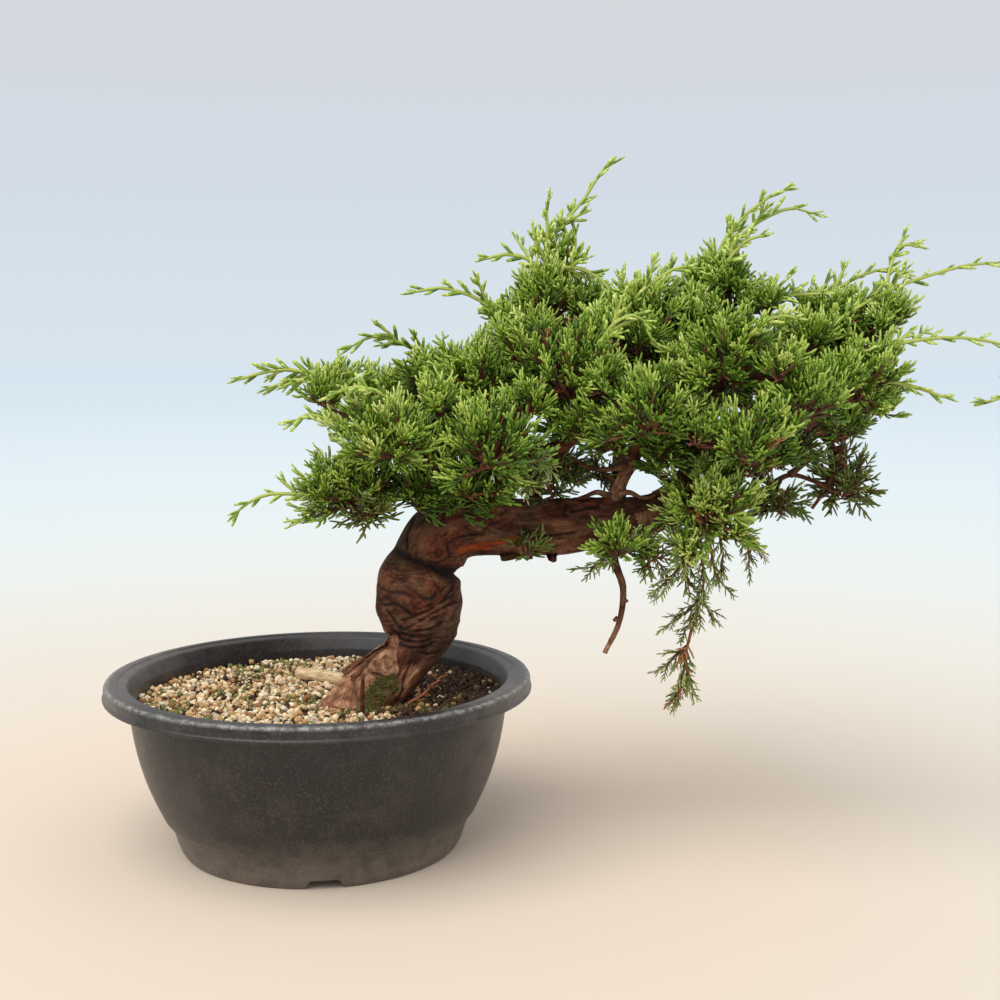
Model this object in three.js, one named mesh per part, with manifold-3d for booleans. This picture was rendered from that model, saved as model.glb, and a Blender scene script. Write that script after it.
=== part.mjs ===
// An Itoigawa Chinese juniper bonsai in the round plastic training pot it grows in.
// The trunk leaves the soil left of the crown, swells into a knot, bends over and runs level to the
// right. Boughs rise from it into dense, bright green masses with long soft runners at their tips.
// Units are millimetres, +Z is up, and the origin is the centre of the pot's underside, on the ground.
// Seen from the front, X runs to the right and Y away from the eye.
import * as THREE from "three";
import { mergeVertices } from "three/addons/utils/BufferGeometryUtils.js";
import Module from "manifold-3d";

const wasm = await Module();
wasm.setup();

// Gap left between two pieces that touch
const CLEARANCE = 0.3;

// Pot: a moulded plastic training pot, 240 mm across its rim
const POT_RADIUS = 120;
const POT_HEIGHT = 97.5;
const POT_WALL = 3;
const POT_FACETS = 30;
const RIM_SKIRT = 9;
const FOOT_RADIUS = 77.5;
const FOOT_RING = 12;
const FOOT_HEIGHT = 14;
const FLOOR_UNDERSIDE = 6;
const FLOOR_TOP = 9;
const PAD_RADIUS = 14;
const NOTCHES = 4;
const NOTCH_TURN = THREE.MathUtils.degToRad(-82);
const NOTCH_FOOT = 21;
const NOTCH_TOP = 13.5;
const NOTCH_HEIGHT = 5.5;
const DRAIN_RADIUS = 6;
const DRAIN_CIRCLE = 42;

// Body of the pot above its foot, as [radius, height] up the outside
const BODY = [[83.5, 16], [91.2, 29], [98.6, 46], [104, 68], [106, POT_HEIGHT - RIM_SKIRT]];

// Soil: its level at the wall, the rise towards the trunk, and the flat place the trunk stands on
const SOIL_EDGE = 82.5;
const GROUND = 86;
const MOUND_REACH = 74;
const SOIL_RINGS = [1, 0.74, 0.48, 0.2];

// Trunk as [x, y, z, radius]: root flare, neck, knot, waist, bend and the level run to the fork
const TRUNK = [
  [36, -23, GROUND + CLEARANCE, 22], [39, -22, 93, 19.5], [45, -19, 103, 16.5], [52, -15, 114, 14.2],
  [55, -11, 126, 19.5], [56.5, -8, 139, 24], [57, -5, 152, 23], [59, -3, 163, 19.8],
  [68, -1, 174, 19.6], [82, 0, 180.5, 17.6], [102, 1, 180.5, 16], [132, 3, 180, 15.8],
  [158, 6, 182, 14], [178, 9, 184, 12.2], [194, 11, 189, 10.6], [204, 12, 197, 9],
];
const TRUNK_SIDES = 16;
const TRUNK_STEPS = 26;
// Roots that spread at the foot, as [direction in degrees, reach beyond the trunk]
const ROOTS = [[214, 16], [285, 6], [352, 4], [60, 7], [150, 10]];
const ROOT_RISE = 13;
const ROOT_WIDTH = THREE.MathUtils.degToRad(27);

// Boughs: [name, route of [x, y, z], radius at the foot, radius at the tip]
const BOUGHS = [
  ["leader", [[198, 11, 192], [209, 12, 207], [213, 11, 222], [216, 7, 240]], 8, 4.6],
  ["bough_left_low", [[70, -4, 184], [54, -12, 200], [38, -19, 206]], 4.6, 2.6],
  ["bough_left_front", [[76, -4, 186], [66, -14, 213], [54, -32, 227]], 4.8, 2.7],
  ["bough_left_back", [[80, 4, 186], [68, 13, 222], [50, 19, 244]], 4.8, 2.8],
  ["bough_left_rear", [[88, 8, 184], [76, 36, 212], [60, 55, 228]], 4.6, 2.7],
  ["bough_shoulder", [[91, 2, 186], [92, 0, 222], [87, -5, 248]], 5, 3],
  ["bough_centre_low", [[101, -6, 184], [103, -26, 206], [99, -41, 219]], 4.6, 2.7],
  ["bough_centre", [[100, 2, 186], [111, -4, 213], [127, -8, 223], [142, -9, 231], [142, -15, 250]],
    5.6, 3.2],
  ["bough_apex", [[141, -8, 230], [143, 3, 246], [136, 4, 272], [131, 2, 292]], 4, 2.6],
  ["bough_rear", [[122, 8, 184], [120, 32, 216], [111, 50, 241]], 5, 3],
  ["bough_centre_right", [[163, 5, 186], [171, 3, 207], [177, 1, 220], [180, -2, 246], [180, -4, 268]],
    5.2, 3],
  ["bough_middle_low", [[177, 1, 222], [178, -13, 229], [178, -28, 236]], 3.5, 2.4],
  ["bough_rear_right", [[168, 10, 186], [172, 34, 220], [172, 53, 250]], 5, 3],
  ["bough_low_front", [[175, 1, 217], [187, -5, 213], [199, -12, 204], [206, -17, 200]], 3.3, 2.5],
  ["bough_right_apex", [[215, 7, 236], [221, 8, 266], [225, 6, 294]], 4.4, 2.7],
  ["bough_right_mid", [[214, 8, 230], [219, -8, 246], [223, -21, 260]], 4, 2.6],
  ["bough_right", [[208, 12, 204], [228, 10, 219], [254, 6, 233], [276, 3, 240], [288, -3, 249]], 6, 3],
  ["bough_right_upper", [[256, 6, 234], [267, 7, 258], [274, 5, 281]], 4, 2.6],
  ["bough_right_shade", [[270, 4, 237], [284, 14, 233], [292, 20, 226]], 3.4, 2.4],
  ["bough_right_low", [[242, 8, 227], [252, -15, 238], [259, -31, 246]], 3.4, 2.4],
  ["bough_right_front", [[212, 11, 216], [222, -15, 221], [229, -38, 227]], 3.4, 2.4],
  ["bough_right_rear", [[211, 12, 212], [222, 34, 232], [233, 52, 249]], 4.4, 2.8],
  ["bough_far_rear", [[262, 5, 235], [278, 30, 243], [289, 45, 250]], 3.6, 2.5],
  ["bough_low_right", [[203, 12, 195], [222, 11, 192], [241, 8, 195]], 3.6, 2.4],
  ["bough_hanging", [[194, 9, 186], [203, -2, 174], [206, -7, 160]], 3.8, 2.5],
  ["dead_twig", [[161, 0, 176], [165, -5, 163], [170, -7, 145], [166, -8, 124], [158, -8, 108]], 3, 1.6],
  ["root_stub", [[24, -6, 94], [9, 19, 91.8], [-8, 37, 90.3], [-25, 48, 88.8]], 4.6, 3.9],
];
const BOUGH_SIDES = 5;
const BOUGH_STEP = 19;

// Masses of foliage: name, centre, half sizes, the bough or the place on the trunk that carries the
// mass, the far tips of its runners, and for a spire how much it narrows from its middle to its top
const MASSES = [
  { name: "foliage_left_low", centre: [21, -22, 206], half: [36, 30, 20], on: "bough_left_low",
    runners: [[-42, -30, 190]] },
  { name: "foliage_left_front", centre: [42, -50, 235], half: [36, 28, 21], on: "bough_left_front",
    runners: [[-8, -48, 240]] },
  { name: "foliage_left_back", centre: [35, 22, 254], half: [38, 30, 20], on: "bough_left_back",
    runners: [[-47, 6, 262], [-29, -6, 257], [15, 14, 279]] },
  { name: "foliage_left_rear", centre: [46, 68, 237], half: [34, 28, 22], on: "bough_left_rear",
    runners: [[-8, 88, 240]] },
  { name: "foliage_shoulder", centre: [86, -8, 269], half: [33, 30, 24], on: "bough_shoulder",
    runners: [[52, -8, 310]] },
  { name: "foliage_centre_low", centre: [97, -54, 230], half: [30, 27, 23], on: "bough_centre_low",
    runners: [] },
  { name: "foliage_apex", centre: [129, 0, 309], half: [24, 24, 33], narrow: 0.45, on: "bough_apex",
    runners: [[168, 5, 382], [129, -5, 366], [93, -10, 331], [140, 8, 358]] },
  { name: "foliage_centre", centre: [137, -26, 269], half: [31, 27, 25], on: "bough_centre",
    runners: [] },
  { name: "foliage_rear", centre: [105, 63, 262], half: [36, 30, 26], on: "bough_rear",
    runners: [[88, 104, 286]] },
  { name: "foliage_centre_right", centre: [180, -6, 294], half: [35, 28, 26], on: "bough_centre_right",
    runners: [[196, -6, 329], [168, 8, 322]] },
  { name: "foliage_middle_low", centre: [177, -44, 246], half: [31, 26, 22], on: "bough_middle_low",
    runners: [] },
  { name: "foliage_rear_right", centre: [172, 67, 272], half: [34, 30, 26], on: "bough_rear_right",
    runners: [[180, 108, 300]] },
  { name: "foliage_right_apex", centre: [225, 4, 317], half: [20, 21, 28], narrow: 0.35,
    on: "bough_right_apex", runners: [[264, 0, 367], [281, 12, 355], [253, -8, 343]] },
  { name: "foliage_right_mid", centre: [224, -34, 277], half: [34, 26, 25], on: "bough_right_mid",
    runners: [] },
  { name: "foliage_right_upper", centre: [282, 5, 297], half: [38, 28, 21], on: "bough_right_upper",
    runners: [[335, 20, 346], [388, 4, 327], [336, 30, 323]] },
  { name: "foliage_right_end", centre: [300, -12, 266], half: [27, 28, 23], on: "bough_right",
    runners: [[388, -14, 279], [346, -22, 251]] },
  { name: "foliage_right_front", centre: [232, -52, 230], half: [24, 23, 18], on: "bough_right_front",
    runners: [] },
  { name: "foliage_right_shade", centre: [296, 25, 214], half: [29, 28, 27], on: "bough_right_shade",
    runners: [] },
  { name: "foliage_right_low", centre: [263, -44, 252], half: [28, 24, 18], on: "bough_right_low",
    runners: [] },
  { name: "foliage_right_rear", centre: [238, 67, 264], half: [34, 30, 26], on: "bough_right_rear",
    runners: [[252, 108, 288]] },
  { name: "foliage_far_rear", centre: [298, 60, 258], half: [30, 27, 23], on: "bough_far_rear",
    runners: [[350, 78, 268]] },
  { name: "foliage_low_front", centre: [214, -26, 194], half: [27, 24, 22], on: "bough_low_front",
    runners: [[190, -34, 161], [226, -31, 158]] },
  { name: "foliage_low_right", centre: [255, 6, 197], half: [20, 18, 13], on: "bough_low_right",
    runners: [] },
  { name: "foliage_hanging", centre: [208, -10, 134], half: [9, 9, 27], on: "bough_hanging",
    runners: [[202, -8, 81]] },
  { name: "foliage_trunk_front", centre: [166, -32, 178], half: [21, 14, 14], from: [163, -7, 178],
    runners: [[152, -36, 161]] },
  { name: "foliage_trunk_twig", centre: [117, -25, 172], half: [11, 9, 10], from: [114, -13, 176],
    runners: [] },
];

// Heart of a mass: how blunt its corners are, and how far its tufts and the hollows between them
// reach, as [least, most] shares of the way to its skin
const BLUNTNESS = 2.5;
const TUFT_CHANCE = 0.4;
const TUFTS = [0.94, 1.14];
const HOLLOWS = [0.56, 0.7];
// Sprays of scale leaves and the twigs of the runners
const TWIG_RADIUS = 1.3;
const SPRAY_SPACING = 37;
const SPRAY_FOOT = 0.47;
const SPRAY_TIPS = [1.02, 1.22];
const SPRAY_SHAPE = [[0, 0], [0.62, 0.42], [0.58, 0.12], [1, 0], [0.5, -0.1], [0.66, -0.38]];
const LEAF_SHAPE = [[0, 0], [0.38, 0.26], [1, 0], [0.44, -0.22]];
const SPRAY_THICKNESS = 1.8;
const SHORTEST_SPRAY = 7;
const OPEN_SHARE = 0.7;
const SPRAY_TWIST = 2.4;
const RUNNER_RISE = 0.12;
const RUNNER_PARTS = 3;
const RUNNER_LEAVES = [0.6, 0.74, 0.88];
const LEAF_LENGTH = 15;

const MATERIALS = {
  pot: { color: "#3a393b", roughness: 0.72, metalness: 0 },
  soil: { color: "#a08f6e", roughness: 0.95, metalness: 0 },
  bark: { color: "#5b4234", roughness: 0.88, metalness: 0 },
  deadwood: { color: "#cbb389", roughness: 0.8, metalness: 0 },
  foliage: { color: "#4f8a2c", roughness: 0.55, metalness: 0 },
};

// The whole: the pot with its soil, the wood of the tree, and its foliage
const part = new THREE.Group();
const container = new THREE.Group();
const wood = new THREE.Group();
const foliage = new THREE.Group();
part.add(container, wood, foliage);

const UP = new THREE.Vector3(0, 0, 1);
const vec = (p) => new THREE.Vector3(...p);

// A three.js geometry as a closed solid, and back again
function solidFrom(geometry) {
  const bare = geometry.clone();
  bare.deleteAttribute("normal");
  bare.deleteAttribute("uv");
  const merged = mergeVertices(bare, 1e-4);
  return new wasm.Manifold(new wasm.Mesh({
    numProp: 3,
    vertProperties: merged.attributes.position.array,
    triVerts: merged.index.array,
  }));
}

function geometryFrom(solid) {
  const mesh = solid.getMesh();
  const geometry = new THREE.BufferGeometry();
  geometry.setAttribute("position", new THREE.BufferAttribute(mesh.vertProperties, 3));
  geometry.setIndex(new THREE.BufferAttribute(mesh.triVerts, 1));
  geometry.computeVertexNormals();
  return geometry;
}

// The largest closed body of a solid, without loose scraps or sealed hollows
function largestBody(solid) {
  return solid.decompose().reduce((best, body) => (body.volume() > best.volume() ? body : best));
}

// Each piece is a mesh of its own, whose shape is kept about its own place in the group
function addPiece(group, name, solid, finish, place) {
  const at = vec(place);
  const geometry = geometryFrom(solid).translate(-at.x, -at.y, -at.z);
  const mesh = new THREE.Mesh(geometry, new THREE.MeshStandardMaterial(MATERIALS[finish]));
  mesh.name = name;
  mesh.position.copy(at);
  group.add(mesh);
}

// The same numbers in the same order for the same seed
function seeded(seed) {
  let state = seed >>> 0;
  return () => {
    state = (Math.imul(state, 1664525) + 1013904223) >>> 0;
    return state / 4294967296;
  };
}

// Pot
function potProfile() {
  const inner = [BODY[4], BODY[2], BODY[0]].map(([r, z]) => [r - POT_WALL, z]);
  return [
    [0, 0], [PAD_RADIUS, 0], [PAD_RADIUS + 0.5, FLOOR_UNDERSIDE],
    [FOOT_RADIUS - FOOT_RING, FLOOR_UNDERSIDE], [FOOT_RADIUS - FOOT_RING + 0.5, 0],
    [FOOT_RADIUS, 0], [FOOT_RADIUS + 1, FOOT_HEIGHT - 1],
    ...BODY,
    [POT_RADIUS, POT_HEIGHT - RIM_SKIRT], [POT_RADIUS, POT_HEIGHT - 2], [POT_RADIUS - 2, POT_HEIGHT],
    [POT_RADIUS - 9, POT_HEIGHT], [POT_RADIUS - 14.3, POT_HEIGHT - 2.5],
    ...inner,
    [FOOT_RADIUS - 2, FLOOR_TOP], [0, FLOOR_TOP],
  ];
}

function lathe(profile, facets) {
  const geometry = new THREE.LatheGeometry(profile.map(([r, z]) => new THREE.Vector2(r, z)), facets);
  return solidFrom(geometry.rotateX(Math.PI / 2));
}

function makePot() {
  let pot = lathe(potProfile(), POT_FACETS);
  const notch = new THREE.Shape([
    new THREE.Vector2(-NOTCH_FOOT / 2, -1), new THREE.Vector2(NOTCH_FOOT / 2, -1),
    new THREE.Vector2(NOTCH_TOP / 2, NOTCH_HEIGHT), new THREE.Vector2(-NOTCH_TOP / 2, NOTCH_HEIGHT),
  ]);
  for (let i = 0; i < NOTCHES; i++) {
    const turn = NOTCH_TURN + (i * 2 * Math.PI) / NOTCHES;
    const cutter = new THREE.ExtrudeGeometry(notch, { depth: FOOT_RING * 2.5, bevelEnabled: false });
    cutter.rotateX(Math.PI / 2).translate(0, FOOT_RADIUS + FOOT_RING, 0).rotateZ(turn - Math.PI / 2);
    pot = pot.subtract(solidFrom(cutter));
    const drain = new THREE.CylinderGeometry(DRAIN_RADIUS, DRAIN_RADIUS, FLOOR_TOP, 12);
    const middle = turn + Math.PI / NOTCHES;
    drain.rotateX(Math.PI / 2);
    drain.translate(DRAIN_CIRCLE * Math.cos(middle), DRAIN_CIRCLE * Math.sin(middle), FLOOR_TOP);
    pot = pot.subtract(solidFrom(drain));
  }
  addPiece(container, "pot", pot, "pot", [0, 0, 0]);
}

// Soil: fills the pot, with a low mound that is level under the trunk
function soilTop(x, y) {
  const away = Math.hypot(x - TRUNK[0][0], y - TRUNK[0][1]);
  const fall = THREE.MathUtils.smoothstep(away, MOUND_REACH * 0.55, MOUND_REACH * 1.6);
  const ripple = 0.7 * Math.sin(x * 0.11 + 1.3) * Math.cos(y * 0.13);
  return THREE.MathUtils.lerp(GROUND, SOIL_EDGE, fall) + ripple * fall;
}

function makeSoil() {
  const gap = POT_WALL + CLEARANCE;
  const wall = [BODY[0], BODY[2]].map(([r, z]) => [r - gap, z]);
  const [lowR, lowZ] = BODY[2];
  const [topR, topZ] = BODY[4];
  const edge = THREE.MathUtils.mapLinear(SOIL_EDGE, lowZ, topZ, lowR, topR) - gap;
  const rings = SOIL_RINGS.map((share) => [edge * share, SOIL_EDGE]);
  const floor = FLOOR_TOP + CLEARANCE;
  const profile = [[0, floor], [FOOT_RADIUS - 2.5, floor], ...wall, ...rings, [0, SOIL_EDGE]];
  const outline = profile.map(([r, z]) => new THREE.Vector2(r, z));
  const geometry = new THREE.LatheGeometry(outline, POT_FACETS).rotateX(Math.PI / 2);
  const at = geometry.attributes.position;
  for (let i = 0; i < at.count; i++) {
    if (Math.abs(at.getZ(i) - SOIL_EDGE) < 1e-3) at.setZ(i, soilTop(at.getX(i), at.getY(i)));
  }
  addPiece(container, "soil", solidFrom(geometry), "soil", [0, 0, 0]);
}

// Limbs: a tube bent along a smooth route. radiusAt gives the radius from the share of the length
// and the direction round the limb. extra makes the limb fatter all round and longer at its tip.
// A level, if there is one, is the height of its flat foot
function limb(route, radiusAt, sides, steps, extra, level) {
  const curve = smooth(route);
  const frames = curve.computeFrenetFrames(steps);
  const tube = new THREE.CylinderGeometry(1, 1, 1, sides, steps);
  const at = tube.attributes.position;
  for (let i = 0; i < at.count; i++) {
    const step = Math.round((at.getY(i) + 0.5) * steps);
    const side = frames.binormals[step].clone().multiplyScalar(at.getX(i));
    side.addScaledVector(frames.normals[step], at.getZ(i));
    const middle = curve.getPointAt(step / steps);
    const onSkin = side.lengthSq() > 0.5;
    const radius = onSkin ? radiusAt(step / steps, side, middle, curve) + extra : 0;
    const place = middle.clone().addScaledVector(side, radius);
    place.addScaledVector(frames.tangents[step], step === steps ? extra : 0);
    at.setXYZ(i, place.x, place.y, step === 0 && level !== undefined ? level : place.z);
  }
  return solidFrom(tube);
}

function smooth(route) {
  return new THREE.CatmullRomCurve3(route.map(vec), false, "catmullrom", 0.5);
}

// Radius of the trunk: the table's radius, with the spreading roots added near the ground
function trunkRadius(share, side, middle, curve) {
  const t = curve.getUtoTmapping(share, 0) * (TRUNK.length - 1);
  const i = Math.min(Math.floor(t), TRUNK.length - 2);
  const plain = THREE.MathUtils.lerp(TRUNK[i][3], TRUNK[i + 1][3], THREE.MathUtils.smoothstep(t - i, 0, 1));
  const angle = Math.atan2(side.y, side.x);
  const spread = ROOTS.map(([degrees, reach]) => {
    const turn = Math.abs(angle - THREE.MathUtils.degToRad(degrees)) % (2 * Math.PI);
    return reach * Math.exp(-((Math.min(turn, 2 * Math.PI - turn) / ROOT_WIDTH) ** 2));
  });
  const fade = Math.exp(-(middle.z - GROUND) / ROOT_RISE);
  return plain + fade * spread.reduce((sum, reach) => sum + reach);
}

function makeTrunk(extra) {
  return limb(TRUNK, trunkRadius, TRUNK_SIDES, TRUNK_STEPS, extra, GROUND + CLEARANCE - extra);
}

// Each limb made so far: its name, a copy that is fatter by the clearance, and the line it follows
const limbs = [];

function makeLimbs() {
  addPiece(wood, "trunk", makeTrunk(0), "bark", TRUNK[0].slice(0, 3));
  limbs.push({ name: "trunk", fat: makeTrunk(CLEARANCE), line: sampled(TRUNK, TRUNK.map((p) => p[3])) });
  for (const [name, route, foot, tip] of BOUGHS) {
    const curve = smooth(route);
    const steps = Math.max(3, Math.round(curve.getLength() / BOUGH_STEP));
    const taper = (share) => THREE.MathUtils.lerp(foot, tip, share);
    let solid = limb(route, taper, BOUGH_SIDES, steps, 0);
    for (const other of limbs) solid = solid.subtract(other.fat);
    const finish = name === "root_stub" ? "deadwood" : "bark";
    addPiece(wood, name, largestBody(solid), finish, route[0]);
    const radii = route.map((_, i) => taper(i / (route.length - 1)));
    limbs.push({
      name,
      fat: limb(route, taper, BOUGH_SIDES, steps, CLEARANCE),
      line: sampled(route, radii),
      tip: vec(route.at(-1)),
      tipRadius: tip,
    });
  }
}

// Points along a limb with its radius, close enough together to measure distances from
function sampled(route, radii) {
  const curve = smooth(route);
  const count = 4 * (route.length - 1);
  return Array.from({ length: count + 1 }, (_, k) => {
    const t = (k / count) * (route.length - 1);
    const i = Math.min(Math.floor(t), route.length - 2);
    return { at: curve.getPoint(k / count), radius: THREE.MathUtils.lerp(radii[i], radii[i + 1], t - i) };
  });
}

function clearOfLimbs(point, margin) {
  return limbs.every(({ line }) => line.every(({ at, radius }, i) => {
    if (i === 0) return true;
    const segment = new THREE.Line3(line[i - 1].at, at);
    const near = segment.closestPointToPoint(point, true, new THREE.Vector3());
    return near.distanceTo(point) > Math.max(radius, line[i - 1].radius) + margin;
  }));
}

// Space of a mass: flat walls between it and each other mass, set by how big the two are
function wallsOf(mass) {
  return MASSES.filter((other) => other !== mass).map((other) => {
    const towards = vec(other.centre).sub(vec(mass.centre));
    const apart = towards.length();
    towards.normalize();
    const own = reach(mass, towards);
    const share = own / (own + reach(other, towards.clone().negate()));
    return { towards, limit: towards.dot(vec(mass.centre)) + apart * share };
  });
}

// Distance from the centre of a mass to its skin: a rounded block, or a rounded cone for a spire
function reach({ half, narrow = 0 }, direction) {
  const width = 1 - narrow * direction.z;
  const shares = [direction.x / (half[0] * width), direction.y / (half[1] * width), direction.z / half[2]];
  const sum = shares.reduce((total, share) => total + Math.abs(share) ** BLUNTNESS, 0);
  return sum ** (-1 / BLUNTNESS);
}

function inSpace(point, walls, margin) {
  return walls.every(({ towards, limit }) => towards.dot(point) < limit - margin);
}

// A spray of scale leaves as a flat blade, thickest in its middle
function blade(shape, root, along, across, length) {
  const thick = new THREE.Vector3().crossVectors(along, across).multiplyScalar(SPRAY_THICKNESS / 2);
  const place = ([u, v]) => root.clone().addScaledVector(along, u * length)
    .addScaledVector(across, v * length);
  const rim = shape.map(place);
  const ridge = place([0.4, 0]);
  const points = [...rim, ridge.clone().add(thick), ridge.clone().sub(thick)];
  const faces = rim.flatMap((_, i) => {
    const next = (i + 1) % rim.length;
    return [i, rim.length, next, next, rim.length + 1, i];
  });
  return { points, faces };
}

// A twig of three sides through the given places, thinning to its tip
function twig(places, foot, tip) {
  const points = [];
  const last = places.length - 1;
  const start = new THREE.Vector3().subVectors(places[last], places[0]).normalize();
  const lean = Math.abs(start.z) > 0.9 ? new THREE.Vector3(1, 0, 0) : UP;
  const sideways = new THREE.Vector3().crossVectors(lean, start).normalize();
  const upward = new THREE.Vector3().crossVectors(start, sideways);
  places.forEach((place, i) => {
    const radius = THREE.MathUtils.lerp(foot, tip, i / last);
    for (let k = 0; k < 3; k++) {
      const angle = (k * 2 * Math.PI) / 3;
      points.push(place.clone().addScaledVector(sideways, radius * Math.cos(angle))
        .addScaledVector(upward, radius * Math.sin(angle)));
    }
  });
  const faces = [2, 1, 0, 3 * last, 3 * last + 1, 3 * last + 2];
  for (let i = 0; i < last; i++) {
    for (let k = 0; k < 3; k++) {
      const a = 3 * i + k;
      const b = 3 * i + ((k + 1) % 3);
      faces.push(a, b, b + 3, a, b + 3, a + 3);
    }
  }
  return { points, faces };
}

function solidOf({ points, faces }) {
  return solidFrom(new THREE.BufferGeometry().setFromPoints(points).setIndex(faces));
}

// Directions spread evenly over a sphere, turned by the mass's own number
function evenDirections(count, turn) {
  const golden = Math.PI * (3 - Math.sqrt(5));
  return Array.from({ length: count }, (_, k) => {
    const z = 1 - (2 * k + 1) / count;
    const flat = Math.sqrt(1 - z * z);
    return new THREE.Vector3(flat * Math.cos(k * golden + turn), flat * Math.sin(k * golden + turn), z);
  });
}

// A bent line from one place to another that first rises and then reaches out
function arched(from, to, rise, count) {
  const middle = from.clone().lerp(to, 0.5).addScaledVector(UP, rise);
  const curve = new THREE.QuadraticBezierCurve3(from, middle, to);
  return Array.from({ length: count + 1 }, (_, i) => curve.getPoint(i / count));
}

// How far a mass can reach from its centre in a direction before it meets a wall of its space
function room(mass, walls, direction) {
  const centre = vec(mass.centre);
  const stops = walls.filter(({ towards }) => towards.dot(direction) > 0)
    .map(({ towards, limit }) => (limit - 0.6 - towards.dot(centre)) / towards.dot(direction));
  return Math.min(reach(mass, direction), ...stops);
}

// Dense heart of a mass: rough tufts with hollows between them, kept inside its space
function heart(mass, walls, random) {
  const large = Math.min(...mass.half) > 16;
  const ball = new THREE.IcosahedronGeometry(1, large ? 2 : 1);
  ball.deleteAttribute("normal").deleteAttribute("uv");
  const whole = mergeVertices(ball);
  const at = whole.attributes.position;
  for (let i = 0; i < at.count; i++) {
    const direction = new THREE.Vector3().fromBufferAttribute(at, i).normalize();
    const [least, most] = random() < TUFT_CHANCE ? TUFTS : HOLLOWS;
    const open = reach(mass, direction) * THREE.MathUtils.lerp(least, most, random());
    direction.multiplyScalar(Math.min(open, room(mass, walls, direction) - 0.5));
    direction.add(vec(mass.centre));
    at.setXYZ(i, direction.x, direction.y, direction.z);
  }
  return solidFrom(whole);
}

// The stem starts at the tip of the bough, or on the trunk, and runs into the heart
function stem(mass) {
  const carrier = limbs.find(({ name }) => name === mass.on);
  const foot = carrier ? carrier.tip : vec(mass.from);
  const radius = carrier ? carrier.tipRadius : TWIG_RADIUS * 1.5;
  return twig([foot, vec(mass.centre)], radius, radius * 0.8);
}

// A blade of the given shape with a seeded twist, shortened until it fits, or nothing where it can't
function fittedBlade(shape, root, direction, length, walls, random) {
  const along = direction.clone().normalize();
  const across = new THREE.Vector3().crossVectors(along, UP).normalize();
  across.applyAxisAngle(along, (random() - 0.5) * SPRAY_TWIST);
  const lengths = [1, 0.8, 0.62].map((share) => share * length);
  const tries = lengths.filter((size) => size > SHORTEST_SPRAY)
    .map((size) => blade(shape, root, along, across, size));
  const fits = ({ points }) => points.slice(1)
    .every((point) => inSpace(point, walls, CLEARANCE) && clearOfLimbs(point, 2 * CLEARANCE));
  return tries.filter(fits).slice(0, 1);
}

// Sprays stand out of the heart on its open sides, turned a little upwards
function heartSprays(mass, walls, random) {
  const [a, b, c] = mass.half;
  const surface = 4 * Math.PI * (((a * b) ** 1.6 + (a * c) ** 1.6 + (b * c) ** 1.6) / 3) ** (1 / 1.6);
  const count = Math.round(surface / SPRAY_SPACING ** 2);
  return evenDirections(count, random() * 2 * Math.PI).flatMap((direction) => {
    const full = reach(mass, direction);
    const tip = full * THREE.MathUtils.lerp(...SPRAY_TIPS, random());
    const outward = direction.clone().addScaledVector(UP, 0.4 * random());
    if (room(mass, walls, direction) < full * OPEN_SHARE) return [];
    const root = vec(mass.centre).addScaledVector(direction, full * SPRAY_FOOT);
    return fittedBlade(SPRAY_SHAPE, root, outward, tip - full * SPRAY_FOOT, walls, random);
  });
}

// A runner: a long soft shoot with short side leaves, out to a tip that stands clear of the crown
function runner(mass, tip, walls, random) {
  const centre = vec(mass.centre);
  const rise = tip.z < mass.centre[2] - 30 ? 0 : RUNNER_RISE * tip.distanceTo(centre);
  const line = arched(centre, tip, rise, RUNNER_PARTS);
  const leaves = RUNNER_LEAVES.flatMap((share, k) => {
    const i = Math.floor(share * RUNNER_PARTS);
    const along = line[i + 1].clone().sub(line[i]).normalize();
    const root = line[i].clone().lerp(line[i + 1], share * RUNNER_PARTS - i).sub(along);
    const turned = along.clone().applyAxisAngle(UP, k % 2 ? 0.6 : -0.6).addScaledVector(UP, 0.25);
    return fittedBlade(LEAF_SHAPE, root, turned, LEAF_LENGTH * (1 - 0.13 * k), walls, random);
  });
  return [twig(line, TWIG_RADIUS, TWIG_RADIUS * 0.4), ...leaves];
}

function makeMass(mass, index) {
  const random = seeded(1000 + 77 * index);
  const walls = wallsOf(mass);
  const core = heart(mass, walls, random);
  const growth = [
    stem(mass),
    ...heartSprays(mass, walls, random),
    ...mass.runners.flatMap((tip) => runner(mass, vec(tip), walls, random)),
  ];
  let solid = wasm.Manifold.union([core, ...growth.map(solidOf)]);
  for (const { fat } of limbs) solid = solid.subtract(fat);
  addPiece(foliage, mass.name, largestBody(solid), "foliage", mass.centre);
}

makePot();
makeSoil();
makeLimbs();
MASSES.forEach(makeMass);

export default part;
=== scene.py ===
"""Looks of a juniper bonsai in its round training pot.

Shapes are worked out in millimetres, as in the part's source, and turned to metres when a mesh is made.
"""

import math

import bmesh
import bpy
import numpy as np
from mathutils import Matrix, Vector
from mathutils.bvhtree import BVHTree


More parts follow.
